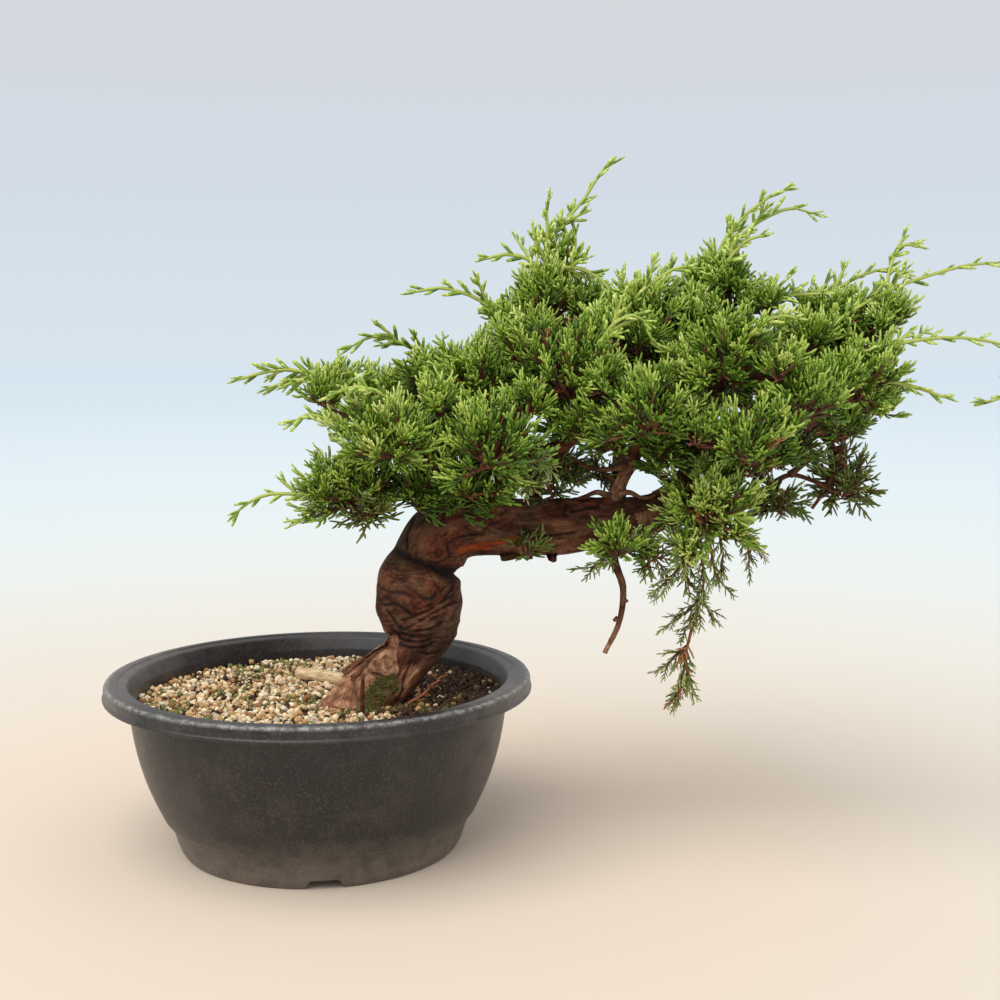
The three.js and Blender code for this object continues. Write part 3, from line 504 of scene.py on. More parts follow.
def moulded_polypropylene():
    """Charcoal polypropylene, moulded with a fine grain: satin, with dust low down, a lighter band at each
    side that is partly dust and partly painted sheen, ochre stains, and pale scuffs on the outer edge of its
    rim that are lightened further by painted sheen."""
    made, tree, shader = material("moulded_polypropylene", 0.45, "#24201e")
    place = node(tree, "ShaderNodeTexCoord").outputs["Object"]
    # Size in mm, detail and roughness of each pattern. The grain of the mould is really 0.2 mm and is drawn
    # at 1.3 mm so that it shows
    cloud, grain, stain, patch, fleck = [
        node(tree, "ShaderNodeTexNoise", {"Vector": place, "Scale": per_mm(size), "Detail": detail,
                                          "Roughness": fine}).outputs["Fac"]
        for size, detail, fine in [(24, 5.0, 0.62), (1.3, 2.0, 0.5), (17, 5.0, 0.7), (9, 7.0, 0.75),
                                   (4, 6.0, 0.8)]]
    axis = node(tree, "ShaderNodeSeparateXYZ", {0: place}).outputs
    sideways = node(tree, "ShaderNodeMath", {0: axis["X"]}, operation="ABSOLUTE").outputs[0]
    flat = node(tree, "ShaderNodeVectorMath", {0: place, 1: (1, 1, 0)}, operation="MULTIPLY").outputs[0]
    away = node(tree, "ShaderNodeVectorMath", {0: flat}, operation="LENGTH").outputs["Value"]
    # How low, how far to a side, how far out and how high up a place is, between two sizes in mm
    low, side, outer, upper = [
        node(tree, "ShaderNodeMapRange", {"Value": value, "From Min": start * MM, "From Max": end * MM,
                                          "To Max": most}).outputs[0]
        for value, start, end, most in [(axis["Z"], 42, 6, 1.0), (sideways, 62, 108, 0.8),
                                        (away, 112, 117.5, 1.0), (axis["Z"], 93, 96.5, 1.0)]]
    # The lighter band at each side of the body is partly dust and partly painted sheen, and the pale layer on
    # the outer part of the rim's top is partly scuffs and partly painted sheen
    where = node(tree, "ShaderNodeMath", {0: low, 1: side}, operation="MAXIMUM").outputs[0]
    edge = node(tree, "ShaderNodeMath", {0: outer, 1: upper}, operation="MULTIPLY").outputs[0]
    dust_and_side_sheen, scuffs_and_rim_sheen = [node(tree, "ShaderNodeMath", {0: share, 1: pattern}, operation="MULTIPLY").outputs[0]
                      for share, pattern in [(where, patch), (edge, fleck)]]
    colour = node(tree, "ShaderNodeValToRGB", {0: cloud},
                  stops=[(0.32, "#0f0c0b"), (0.48, "#191513"), (0.68, "#302a26")]).outputs["Color"]
    # What shows each layer, from which value on, and its colour: speckle, ochre stain, dust and painted side
    # sheen, and scuffs and painted rim sheen
    for value, stops, tint in [
            (grain, [(0.53, "#000000"), (0.72, "#9a9a9a")], "#5d5853"),
            (stain, [(0.6, "#000000"), (0.74, "#707070")], "#6a4f33"),
            (dust_and_side_sheen, [(0.16, "#000000"), (0.56, "#c8c8c8")], "#7b7064"),
            (scuffs_and_rim_sheen, [(0.3, "#000000"), (0.44, "#6a6a6a"), (0.6, "#d0d0d0")], "#aeaca6")]:
        share = node(tree, "ShaderNodeValToRGB", {0: value}, stops=stops).outputs["Color"]
        colour = node(tree, "ShaderNodeMix", {0: share, 6: colour, 7: linear(tint)},
                      data_type="RGBA").outputs[2]
    tree.links.new(colour, shader.inputs["Base Color"])
    satin = node(tree, "ShaderNodeMapRange", {"Value": cloud, "To Min": 0.28, "To Max": 0.56})
    tree.links.new(satin.outputs[0], shader.inputs["Roughness"])
    bump = node(tree, "ShaderNodeBump", {"Height": grain, "Strength": 0.4, "Distance": 0.3 * MM})
    tree.links.new(bump.outputs[0], shader.inputs["Normal"])
    return made


def juniper_bark():
    """Juniper bark, red-brown and grey in blotches, that flakes along its limbs and wrinkles round the knot.

    The mesh says where it wrinkles, where it is bare and orange, where moss tints it, where it is dry and
    tan, and how deep its creases are, which sets how much painted shade darkens them.
    """
    made, tree, shader = material("juniper_bark", 0.8, "#4a2f22", Specular_IOR_Level=0.2)
    grain, marks, depth, round_it = [
        node(tree, "ShaderNodeAttribute", attribute_name=field).outputs[kind]
        for field, kind in [("grain", "Vector"), ("marks", "Vector"), ("depth", "Fac"), ("across", "Fac")]]
    mark = node(tree, "ShaderNodeSeparateXYZ", {0: marks}).outputs
    along, around = [node(tree, "ShaderNodeMapping", {"Vector": grain, "Scale": scale}).outputs[0]
                     for scale in [(1, 1, 0.3), (0.4, 0.4, 1)]]
    run = node(tree, "ShaderNodeMix", {0: round_it, 4: along, 5: around}, data_type="VECTOR").outputs[1]
    # Place, size in mm, detail, roughness and distortion of each pattern. Algae lie in specks of 1.5 mm
    fibre, blotch, region, flake, algae, seam = [
        node(tree, "ShaderNodeTexNoise", {"Vector": place, "Scale": per_mm(size), "Detail": detail,
                                          "Roughness": fine, "Distortion": swirl}).outputs["Fac"]
        for place, size, detail, fine, swirl in [
            (run, 2.2, 6.0, 0.68, 0.5), (grain, 9, 6.0, 0.64, 0.8), (grain, 27, 3.0, 0.5, 0.0),
            (run, 9, 4.0, 0.5, 1.4), (grain, 1.5, 4.0, 0.7, 0.0), (run, 7, 2.5, 0.5, 0.9)]]
    # Red and brown regions, flakes with sharp edges, specks of algae, and where cracks are, which get painted
    # shade
    ruddy, flaked, specks, some = [
        node(tree, "ShaderNodeMapRange", {"Value": value, "From Min": low, "From Max": high,
                                          "To Max": most}).outputs[0]
        for value, low, high, most in [(region, 0.42, 0.58, 1.0), (flake, 0.52, 0.545, 0.26),
                                       (algae, 0.46, 0.64, 1.0), (blotch, 0.44, 0.54, 0.85)]]
    # Thin cracks follow the lines where a coarse noise passes through its middle value
    off = node(tree, "ShaderNodeMath", {0: seam, 1: 0.5}, operation="SUBTRACT").outputs[0]
    gap = node(tree, "ShaderNodeMath", {0: off}, operation="ABSOLUTE").outputs[0]
    line = node(tree, "ShaderNodeMapRange", {"Value": gap, "From Max": 0.011, "To Min": 1.0,
                                             "To Max": 0.0}).outputs[0]
    crack, green = [node(tree, "ShaderNodeMath", {0: one, 1: other}, operation="MULTIPLY").outputs[0]
                    for one, other in [(line, some), (mark["Y"], specks)]]
    tone = node(tree, "ShaderNodeMix", {0: 0.42, 2: blotch, 3: fibre}).outputs[0]
    brown, colour, orange, papery = [
        node(tree, "ShaderNodeValToRGB", {0: value}, stops=stops).outputs["Color"]
        for value, stops in [
            (tone, [(0.36, "#1a0c05"), (0.45, "#361d10"), (0.53, "#4d301f"), (0.62, "#6b4831"),
                    (0.72, "#957450")]),
            (tone, [(0.36, "#210b04"), (0.45, "#431b0e"), (0.54, "#60301d"), (0.66, "#7f4d34")]),
            (fibre, [(0.3, "#4c1c0b"), (0.5, "#7f3516"), (0.7, "#994b22")]),
            (tone, [(0.37, "#462a1a"), (0.45, "#744c34"), (0.53, "#9a6d4f"), (0.65, "#c8a07a")])]]
    # Over the red bark: brown regions, flakes, bare orange wood, algae, dry bark, and painted shade in
    # creases and cracks
    for share, over in [(ruddy, brown), (flaked, linear("#826044")), (mark["X"], orange),
                        (green, linear("#45441c")), (mark["Z"], papery), (depth, linear("#0d0603")),
                        (crack, linear("#140a06"))]:
        colour = node(tree, "ShaderNodeMix", {0: share, 6: colour, 7: over}, data_type="RGBA").outputs[2]
    tree.links.new(colour, shader.inputs["Base Color"])
    height = node(tree, "ShaderNodeMath", {0: flaked, 1: tone}, operation="ADD").outputs[0]
    ridges = node(tree, "ShaderNodeBump", {"Height": height, "Strength": 0.6, "Distance": 1.0 * MM})
    split = node(tree, "ShaderNodeBump", {"Height": crack, "Normal": ridges.outputs[0], "Strength": 0.6,
                                          "Distance": 0.6 * MM}, invert=True)
    tree.links.new(split.outputs[0], shader.inputs["Normal"])
    return made


def peeled_deadwood():
    """Peeled, sun-bleached juniper wood: pale, silky along its grain, with fine drying cracks."""
    made, tree, shader = material("peeled_deadwood", 0.62, "#cbb389")
    grain = node(tree, "ShaderNodeAttribute", attribute_name="grain").outputs["Vector"]
    along = node(tree, "ShaderNodeMapping", {"Vector": grain, "Scale": (1, 1, 0.12)}).outputs[0]
    fibre = node(tree, "ShaderNodeTexNoise", {"Vector": along, "Scale": per_mm(0.9), "Detail": 5.0,
                                              "Roughness": 0.6})
    colour = node(tree, "ShaderNodeValToRGB", {0: fibre.outputs["Fac"]},
                  stops=[(0.3, "#8d6f49"), (0.48, "#c3a477"), (0.62, "#dcc49b"), (0.8, "#ecdcbb")])
    tree.links.new(colour.outputs["Color"], shader.inputs["Base Color"])
    cracks = node(tree, "ShaderNodeBump", {"Height": fibre.outputs["Fac"], "Strength": 0.5,
                                           "Distance": 0.4 * MM})
    tree.links.new(cracks.outputs[0], shader.inputs["Normal"])
    return made


def damp_soil():
    """Fine damp soil between the grains: dark brown crumbs."""
    made, tree, shader = material("damp_soil", 0.95, "#4a3a2a")
    place = node(tree, "ShaderNodeTexCoord").outputs["Object"]
    crumb = node(tree, "ShaderNodeTexNoise", {"Vector": place, "Scale": per_mm(1.6), "Detail": 5.0,
                                              "Roughness": 0.7})
    colour = node(tree, "ShaderNodeValToRGB", {0: crumb.outputs["Fac"]},
                  stops=[(0.32, "#1f1209"), (0.5, "#452a15"), (0.68, "#70502f")])
    tree.links.new(colour.outputs["Color"], shader.inputs["Base Color"])
    bump = node(tree, "ShaderNodeBump", {"Height": crumb.outputs["Fac"], "Strength": 0.9,
                                         "Distance": 1.0 * MM})
    tree.links.new(bump.outputs[0], shader.inputs["Normal"])
    return made


def plain_row(name, roughness, colours, **values):
    """One plain material for each colour, to be dealt out piece by small piece."""
    return [material(f"{name}_{i}", roughness, colour, **values)[0] for i, colour in enumerate(colours)]


# Meshes


def build(name, points, faces, materials, looks=None, smooth=True, fields=None):
    """Makes a mesh object from points in millimetres and arrays of faces of three or four corners."""
    mesh = bpy.data.meshes.new(name)
    mesh.vertices.add(len(points))
    mesh.vertices.foreach_set("co", (np.asarray(points) * MM).astype(np.float32).ravel())
    sizes = np.concatenate([np.full(len(group), group.shape[1]) for group in faces])
    mesh.loops.add(int(sizes.sum()))
    corners = np.concatenate([group.ravel() for group in faces])
    mesh.loops.foreach_set("vertex_index", corners.astype(np.int32))
    mesh.polygons.add(len(sizes))
    mesh.polygons.foreach_set("loop_start", (np.cumsum(sizes) - sizes).astype(np.int32))
    mesh.polygons.foreach_set("use_smooth", np.full(len(sizes), smooth))
    if looks is not None:
        mesh.polygons.foreach_set("material_index", np.asarray(looks).astype(np.int32))
    for field, values in (fields or {}).items():
        kind = "FLOAT" if values.ndim == 1 else "FLOAT_VECTOR"
        layer = mesh.attributes.new(field, kind, "POINT")
        layer.data.foreach_set("value" if values.ndim == 1 else "vector", values.astype(np.float32).ravel())
    for each in materials:
        mesh.materials.append(each)
    mesh.update(calc_edges=True)
    mesh.validate()
    made = bpy.data.objects.new(name, mesh)
    bpy.context.scene.collection.objects.link(made)
    return made


def dress(piece, slot, *nodes):
    """Hangs a piece on the root body and hides the solids that it stands for. The slot is not used."""
    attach(piece, "root")
    if nodes:
        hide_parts(*nodes)
    return piece


def ring_faces(rings, sides, closed=True):
    """Faces between rings of points, round each ring and from each ring to the next."""
    turns = sides if closed else sides - 1
    ring, side = np.meshgrid(np.arange(rings - 1), np.arange(turns), indexing="ij")
    here = (ring * sides + side).ravel()
    beside = (ring * sides + (side + 1) % sides).ravel()
    return np.stack([here, beside, beside + sides, here + sides], axis=1)


def cap_faces(first, sides, middle, flip):
    """A fan that closes a ring with its middle point."""
    here = first + np.arange(sides)
    beside = first + (np.arange(sides) + 1) % sides
    fan = np.stack([here, beside, np.full(sides, middle)], axis=1)
    return fan[:, ::-1] if flip else fan


def capped(rings, first, last):
    """Points and faces of rings of points whose two ends are closed by fans to the given middles."""
    count, sides = rings.shape[:2]
    faces = [
        ring_faces(count, sides),
        cap_faces(0, sides, count * sides, True),
        cap_faces((count - 1) * sides, sides, count * sides + 1, False),
    ]
    return np.vstack([rings.reshape(-1, 3), first, last]), faces


def circle(sides):
    """Angles of even places round a circle, and the places on one of radius 1."""
    turn = np.arange(sides) * 2 * math.pi / sides
    return turn, np.stack([np.cos(turn), np.sin(turn)], axis=1)


# Lines and limbs


def curve(route, parts=24):
    """The smooth line through a route that the part's source draws, with the route's count as 4th column."""
    at = np.asarray(route, float)[:, :3]
    at = np.vstack([2 * at[0] - at[1], at, 2 * at[-1] - at[-2]])
    t = np.linspace(0, len(route) - 1, parts * (len(route) - 1) + 1)
    i = np.minimum(t.astype(int), len(route) - 2)
    f = (t - i)[:, None]
    a, b, c, d = (at[i + k] for k in range(4))
    line = 0.5 * (2 * b + (c - a) * f + (2 * a - 5 * b + 4 * c - d) * f ** 2
                  + (3 * b - a - 3 * c + d) * f ** 3)
    return np.column_stack([line, t])


def evened(line, step):
    """The same line with its places a step apart."""
    length = np.concatenate([[0], np.cumsum(np.linalg.norm(np.diff(line[:, :3], axis=0), axis=1))])
    wanted = np.linspace(0, length[-1], max(3, round(length[-1] / step)) + 1)
    return np.column_stack([np.interp(wanted, length, column) for column in line.T]), wanted


def frames_along(line):
    """Directions across a line that follow it without twisting."""
    tangent = unit(np.gradient(line, axis=0))
    across = np.empty_like(line)
    lean = UP if abs(tangent[0] @ UP) < 0.9 else np.array([1.0, 0, 0])
    across[0] = unit(np.cross(lean, tangent[0]))
    for i in range(1, len(line)):
        across[i] = unit(across[i - 1] - tangent[i] * (across[i - 1] @ tangent[i]))
    return across, np.cross(tangent, across)


def tube_directions(line, sides):
    """Directions out of a line on all sides, and the angles that they stand at."""
    across, over = frames_along(line)
    turn, ring = circle(sides)
    return across[:, None] * ring[:, :1] + over[:, None] * ring[:, 1:], turn


def straightened(radii, turn, length):
    """Places on a limb as if it were straight, so that its grain can run along it."""
    wide = radii * np.ones(len(turn))
    return np.stack([wide * np.cos(turn), wide * np.sin(turn), length[:, None] + 0 * wide], axis=-1)


def line_gap(points, route):
    """Distance of each point from a route, in the plane that both are given in."""
    gap = np.full(points.shape[:-1], np.inf)
    for start, end in zip(np.array(route[:-1], float), np.array(route[1:], float)):
        span = end - start
        share = np.clip(((points - start) @ span) / (span @ span), 0, 1)
        gap = np.minimum(gap, np.linalg.norm(points - start - share[..., None] * span, axis=-1))
    return gap


# Creases of the trunk seen from the front, as route of [x, z], depth and half width
CREASES = [
    ([[36, 171], [42.8, 169], [49.9, 166.3], [58.1, 163.5], [66.4, 160.2], [72.9, 156.8], [79, 153.6]],
     3.6, 2.3),
    ([[77.6, 152], [74.8, 147.1], [70.5, 142.7], [63.9, 138.8], [55.7, 135.5], [48.6, 132.7]], 1.5, 0.7),
    ([[78.1, 141.5], [72.6, 139.9], [66.1, 137.1], [58.4, 132.7], [50.7, 128.3]], 1.3, 0.6),
    ([[55.9, 149.1], [58.6, 146.3], [61.9, 144.7], [65.1, 145.2], [67.3, 147.4]], 1.0, 0.7),
    ([[34.3, 141.2], [38.6, 140.1], [43.6, 141.7], [48.5, 140.1], [52.8, 136.2]], 1.0, 0.7),
    ([[39.9, 137.1], [43.1, 132.7], [46.9, 127.1], [49.6, 123.8]], 1.2, 0.8),
    ([[50.9, 171], [50.4, 178.2], [53.2, 185.4], [56, 190.9]], 1.0, 0.6),
    ([[74, 166.9], [72.9, 173.1], [77.3, 176.4], [84.5, 178.1], [92.2, 178.6]], 1.0, 0.6),
    ([[118.7, 176.6], [127, 177.1], [135.3, 177.7], [144.1, 178.2]], 1.3, 0.7),
    ([[40.4, 123.7], [48.1, 121.5], [56.9, 120.3], [64.6, 122]], 1.8, 0.9),
    ([[44.7, 119.8], [52.5, 117.5], [60.2, 117.5], [65.7, 119.8]], 1.4, 0.9),
    ([[46.1, 128.6], [54.8, 126.9], [63.6, 128], [71.3, 131.9]], 1.2, 0.7),
    ([[34, 150], [41, 147.5], [49, 148.5], [56, 145.5]], 0.9, 0.6),
    ([[79, 147.5], [72, 143], [64, 141.5], [57, 139.5]], 0.9, 0.55),
    ([[42, 125.5], [50, 124.6], [58, 123.6], [68, 125.5]], 1.3, 0.7),
    ([[56, 115.5], [62, 113.5], [68, 114]], 1.2, 0.8),
    ([[53, 109], [50, 102], [49, 95], [46, 89]], 1.6, 0.9),
    ([[137.2, 190], [139, 193.2], [142, 191.6], [141, 188.4], [138.2, 188.2], [137.2, 190]], 0.8, 0.5),
    ([[142.5, 190.2], [149.1, 191.4], [157.4, 192.5]], 0.9, 0.6),
    # The last two are broad, shallow bands of painted shade: under the knot, and down the right side of the
    # foot
    ([[51, 112], [60, 112.5], [69, 116], [76, 122]], 0.4, 4.5),
    ([[66, 108], [62, 98], [57, 90]], 0.45, 4),
]
# Marks on the bark seen from the front, as route of [x, z], reach and which mark it is
BARE, MOSSY, TAN = 0, 1, 2
MARKS = [
    ([[81, 169.2], [87, 170.4], [93.8, 171.2], [102, 172.6], [110, 174.2]], 2.6, BARE),
    ([[55, 187], [48.4, 178], [44.6, 169.6]], 4.5, MOSSY),
    ([[56, 151], [60, 148], [65, 146]], 4, MOSSY),
    ([[36, 166], [44, 164], [52, 161]], 2.5, MOSSY),
    ([[32, 103], [41, 100], [42, 94], [33, 90]], 6, MOSSY),
    ([[38, 119], [32, 112], [22, 104], [12, 95], [8, 88]], 9, TAN),
    ([[54, 106], [50, 100], [48, 94]], 4, TAN),
]


def trunk_marks(points, facing):
    """How bare, mossy and tan the bark is at each place."""
    seen = points[..., [0, 2]]
    marks = np.zeros(points.shape)
    wander = lumps(points, 5, 61) * 1.6
    for route, reach, kind in MARKS:
        soft = 0.5 if kind == BARE else reach * 0.6
        inside = 1 - eased(line_gap(seen, route) + (0.3 if kind == BARE else 1) * wander, reach - soft, reach)
        marks[..., kind] = np.maximum(marks[..., kind], inside * eased(facing, 0, 0.25))
    away = eased(-facing, 0, 0.3)
    marks[..., MOSSY] = np.maximum(marks[..., MOSSY], away * eased(lumps(points, 19, 67), 0.25, 0.6))
    return marks


def bark_relief(grain, seed, strength=1.0, across=0.0):
    """Height of the bark and how deep its cracks are: long fibres, flaking plates and wandering cracks,
    which turn to wrinkles round the limb where it bulges."""
    along = grain * [1, 1, 0.28]
    swirl = grain + 5 * np.stack([lumps(grain, 17, seed + 5), lumps(grain, 17, seed + 6),
                                  lumps(grain, 17, seed + 7)], axis=-1)
    fibres = rough(along, FIBRE, seed)
    plates = eased(lumps(swirl * [1, 1, 0.45], PLATE, seed + 9), -0.06, 0.06)
    straight = 0.4 * fibres + 0.45 * plates
    if np.any(across):
        folds = rough(swirl * [0.3, 0.3, 1], FOLD, seed + 21)
        flakes = eased(lumps(swirl * [0.5, 0.5, 1], FLAKE, seed + 23), -0.05, 0.05)
        straight = mixed(straight, 0.28 * folds + 0.35 * flakes, across)
    cracks = np.exp(-(lumps(swirl * [1, 1, 0.55], CRACK, seed + 13) / 0.04) ** 2)
    cracks *= eased(lumps(grain, 21, seed + 17), 0.0, 0.35)
    height = straight + 1.1 * lumps(grain, LUMP, seed + 3) - 0.8 * cracks
    return strength * height, cracks


def trunk_grid():
    """The trunk's skin as rings of points, its grain, marks, crack depths that the bark paints as shade, and
    where it wrinkles. The rings lie level at the foot and stand square to the trunk from the knot on."""
    line, length = evened(curve(TRUNK), TRUNK_STEP)
    t = line[:, 3]
    i = np.minimum(t.astype(int), len(TRUNK) - 2)
    table = np.array(TRUNK)[:, 3]
    radii = mixed(table[i], table[i + 1], eased(t - i, 0, 1))
    square, turn = tube_directions(line[:, :3], TRUNK_SIDES)
    level = unit(square * [1, 1, 0])
    directions = unit(mixed(level, square, eased(line[:, 2], *LEVEL_UNTIL)[:, None, None]))
    heading = np.degrees(np.arctan2(directions[..., 1], directions[..., 0]))
    spread = sum(reach * np.exp(-(turned_off(heading, degrees) / ROOT_WIDTH) ** 2)
                 * np.exp(-(line[:, 2] - GROUND) / rise)[:, None] for degrees, reach, rise in ROOTS)
    toe = np.interp(line[:, 2], *np.array(TOE, float).T)
    spread += toe[:, None] * np.exp(-(turned_off(heading, TOE_HEADING) / TOE_WIDTH) ** 2)
    wide = radii[:, None] + spread
    grain = straightened(wide, turn, length)
    points = line[:, None, :3] + directions * wide[..., None]
    facing = -directions[..., 1]
    low, full, fading, gone = KNOT
    knot = eased(points[..., 2], low, full) * (1 - eased(points[..., 2], fading, gone))
    knot = knot * (points[..., 0] < KNOT_SIDE)
    height, cracks = bark_relief(grain, 11, 1.0, knot)
    for route, depth, width in CREASES:
        gap = line_gap(points[..., [0, 2]], route) + 0.4 * lumps(points, 3, 71)
        crease = np.exp(-(gap / width) ** 2) * eased(facing, -0.1, 0.3)
        height -= depth * crease
        # A crease also darkens the bark as painted shade, the more the deeper it is
        cracks = np.maximum(cracks, crease * min(1, 1.2 * depth))
    marks = trunk_marks(points, facing)
    height = mixed(height, -0.7, marks[..., BARE])
    cracks = cracks * (1 - marks[..., BARE])
    points += directions * height[..., None]
    return points, grain, marks, np.clip(cracks * 0.95, 0, 1), knot


def turned_off(heading, degrees):
    """How far headings are turned from a given one, in degrees either way."""
    return (heading - degrees + 180) % 360 - 180


def make_trunk(bark):
    """The trunk with its roots, knot, creases and marks. Returns its skin for what is laid on it."""
    points, grain, marks, depth, knot = trunk_grid()
    skin, faces = capped(points, points[0].mean(0), points[-1].mean(0))
    fields = {"grain": grain * MM, "marks": marks, "depth": depth, "across": knot}
    for field, values in fields.items():
        kind = values.shape[2:]
        fields[field] = np.concatenate([values.reshape(-1, *kind), np.zeros((2, *kind))])
    dress(build("trunk_bark", skin, faces, [bark], fields=fields), "bark", "trunk")
    return BVHTree.FromPolygons(skin.tolist(), faces[0].tolist())


def limb_parts(route, foot, tip, sides, step, seed, collar=0.45, strength=0.35):
    """Skin of one limb with its relief, and the fields that its bark reads."""
    line, length = evened(curve(route), step)
    share = length / length[-1]
    radii = mixed(foot, tip, share) * (1 + collar * np.exp(-length / 7))
    directions, turn = tube_directions(line[:, :3], sides)
    grain = straightened(radii[:, None], turn, length + 50 * seed)
    height, cracks = bark_relief(grain, 30 + seed, strength)
    points = line[:, None, :3] + directions * (radii[:, None] + height)[..., None]
    ends = line[[0, -1], :3]
    skin, faces = capped(points, *ends)
    return skin, faces, np.vstack([grain.reshape(-1, 3), ends]) * MM, np.append(cracks.ravel(), [0, 0])


def joined(parts):
    """One set of points, faces and fields from many."""
    starts = np.cumsum([0] + [len(part[0]) for part in parts])
    faces = [group + start for part, start in zip(parts, starts) for group in part[1]]
    return (np.vstack([part[0] for part in parts]), faces,
            *(np.concatenate([part[k] for part in parts]) for k in range(2, len(parts[0]))))


def make_boughs(bark):
    """The leader, the boughs and the bare side twigs, paler on a stump and where the bark is dry."""
    parts = [limb_parts(route, foot, tip, BOUGH_SIDES, LIMB_STEP, i)
             for i, (_, route, foot, tip) in enumerate(BOUGHS)]
    parts += [limb_parts(route, *SIDE_TWIG, TWIG_SIDES, LIMB_STEP, 60 + i, collar=0.6, strength=0.15)
              for i, route in enumerate(SIDE_TWIGS)]
    skin, faces, grain, cracks = joined(parts)
    dry = 0.45 * eased(lumps(skin, 24, 77), 0.0, 0.4)
    stump = np.linalg.norm(skin - STUMP, axis=1)
    dry = np.maximum(dry, 0.8 * eased(-stump, -13, -8))
    fields = {"grain": grain, "depth": cracks * 0.8, "marks": np.column_stack([0 * dry, 0 * dry, dry])}
    boughs = build("boughs_bark", skin, faces, [bark], fields=fields)
    dress(boughs, "bark", *[name for name, *_ in BOUGHS])


def make_dead_twig(bark, deadwood):
    """The bare twig under the trunk, grey-brown, with the stubs of its side twigs and a pale cut end."""
    sides = 16
    parts = [limb_parts(DEAD_TWIG, 2.6, 1.45, sides, FINE_STEP, 40, collar=0.3, strength=0.3)]
    for k, (start, end, radius) in enumerate(TWIG_STUBS):
        parts.append(limb_parts([start, end], radius * 1.4, radius, TWIG_SIDES, FINE_STEP, 41 + k,
                                collar=0.5, strength=0.1))
    skin, faces, grain, cracks = joined(parts)
    dry = 0.35 + 0.6 * eased(128 - skin[:, 2], 0, 22)
    marks = np.column_stack([0 * dry, 0 * dry, dry])
    looks = np.zeros(sum(len(group) for group in faces))
    cut_end = len(faces[0]) + sides
    looks[cut_end:cut_end + sides] = 1
    fields = {"grain": grain, "depth": cracks * 0.6, "marks": marks}
    twig = build("dead_twig_bark", skin, faces, [bark, deadwood], looks, fields=fields)
    dress(twig, "bark", "dead_twig")


def make_peeled_root(deadwood):
    """The pale root that lies on the soil behind the trunk."""
    skin, faces, grain, _ = limb_parts(PEELED_ROOT, 4.3, 3.7, 22, FINE_STEP, 50, collar=0.1, strength=0.4)
    root = build("peeled_root_wood", skin, faces, [deadwood], fields={"grain": grain})
    dress(root, "deadwood", "root_stub")


# Moss: cushions at the foot of the trunk, as routes of [x, z] on its front and of [x, y] on the soil,
# each with its reach
MOSS_ON_BARK = [([[45, 100], [39, 99], [35, 94], [30, 89]], 5)]
MOSS_ON_SOIL = [
    ([[22, -49], [36, -47], [50, -41], [57, -33]], 5),
    ([[2, -46], [8, -52]], 3),
    ([[60, -50], [75, -40]], 3),
]
# The share of the moss that is on the bark, and the spans of x and z, and of x and y, that hold it all
BARK_MOSS_SHARE = 0.62
BARK_MOSS_SPANS = ((24, 52), (85, 109))
SOIL_MOSS_SPANS = ((-2, 80), (-57, -26))
MOSS_CUSHIONS = 520
MOSS_HAIRS = 2600
STICK = [[29, -51, 85], [28.6, -50.5, 96], [29.2, -50, 107.5]]


def moss_places(skin, random, count):
    """Places on the mossy parts of the trunk and of the soil, and the way that each faces."""
    places, ways = [], []
    while len(places) < count:
        if random.random() < BARK_MOSS_SHARE:
            route, reach = MOSS_ON_BARK[0]
            x, z = [random.uniform(*span) for span in BARK_MOSS_SPANS]
            if line_gap(np.array([x, z]), route) > reach * random.uniform(0.2, 1.1):
                continue
            hit, normal = skin.ray_cast((x, -120, z), (0, 1, 0))[:2]
            if hit and lumps(np.array(hit), 4, 33) > -0.15:
                places.append(np.array(hit))
                ways.append(np.array(normal) * np.sign(-normal.y))
        else:
            route, reach = MOSS_ON_SOIL[random.integers(len(MOSS_ON_SOIL))]
            x, y = [random.uniform(*span) for span in SOIL_MOSS_SPANS]
            if line_gap(np.array([x, y]), route) < reach * random.uniform(0.2, 1.1):
                places.append(np.array([x, y, soil_top(x, y) + 0.6]))
                ways.append(UP)
    return np.array(places), np.array(ways)


# Radius of the cushions of moss, and length and radius of the hairs on them
CUSHION_RADII = (0.3, 1.0)
HAIR_LENGTHS = (1.2, 2.8)
HAIR_RADII = [0.28, 0.22, 0.0]


def make_moss(skin, greens):
    """Cushions of moss, rough little balls with fine hairs standing out of them."""
    random = np.random.default_rng(21)
    places, ways = moss_places(skin, random, MOSS_CUSHIONS)
    shape, faces = ball(2)
    size = random.uniform(*CUSHION_RADII, MOSS_CUSHIONS)
    balls = shape * random.uniform(0.6, 1.25, (MOSS_CUSHIONS, len(shape), 1)) * size[:, None, None]
    balls += (places + ways * 0.2)[:, None]
    points, every = many(balls, faces)
    parts = [(points, every, random.integers(0, 3, MOSS_CUSHIONS).repeat(len(faces)))]
    places, ways = moss_places(skin, random, MOSS_HAIRS)
    ways = unit(ways + random.normal(size=ways.shape) * 0.55 + UP * 0.3)
    long = random.uniform(*HAIR_LENGTHS, MOSS_HAIRS)[:, None]
    paths = np.stack([places, places + ways * long * 0.6, places + ways * long], axis=1)
    radii = np.tile(HAIR_RADII, (MOSS_HAIRS, 1))
    hairs, hair_faces = cords(paths, radii)
    points, every = many(hairs, hair_faces)
    parts.append((points, every, random.integers(1, 4, MOSS_HAIRS).repeat(len(hair_faces))))
    points, faces, looks = stacked(parts)
    dress(build("moss", points, [faces], greens, looks), "foliage")


def make_stick(bark):
    """The dark red stick that stands in the soil in front of the trunk."""
    skin, faces, grain, cracks = limb_parts(STICK, 1.15, 0.85, 10, FINE_STEP, 52, collar=0.2, strength=0.12)
    stick = build("stick", skin, faces, [bark], fields={"grain": grain, "depth": cracks * 0.4})
    dress(stick, "bark")


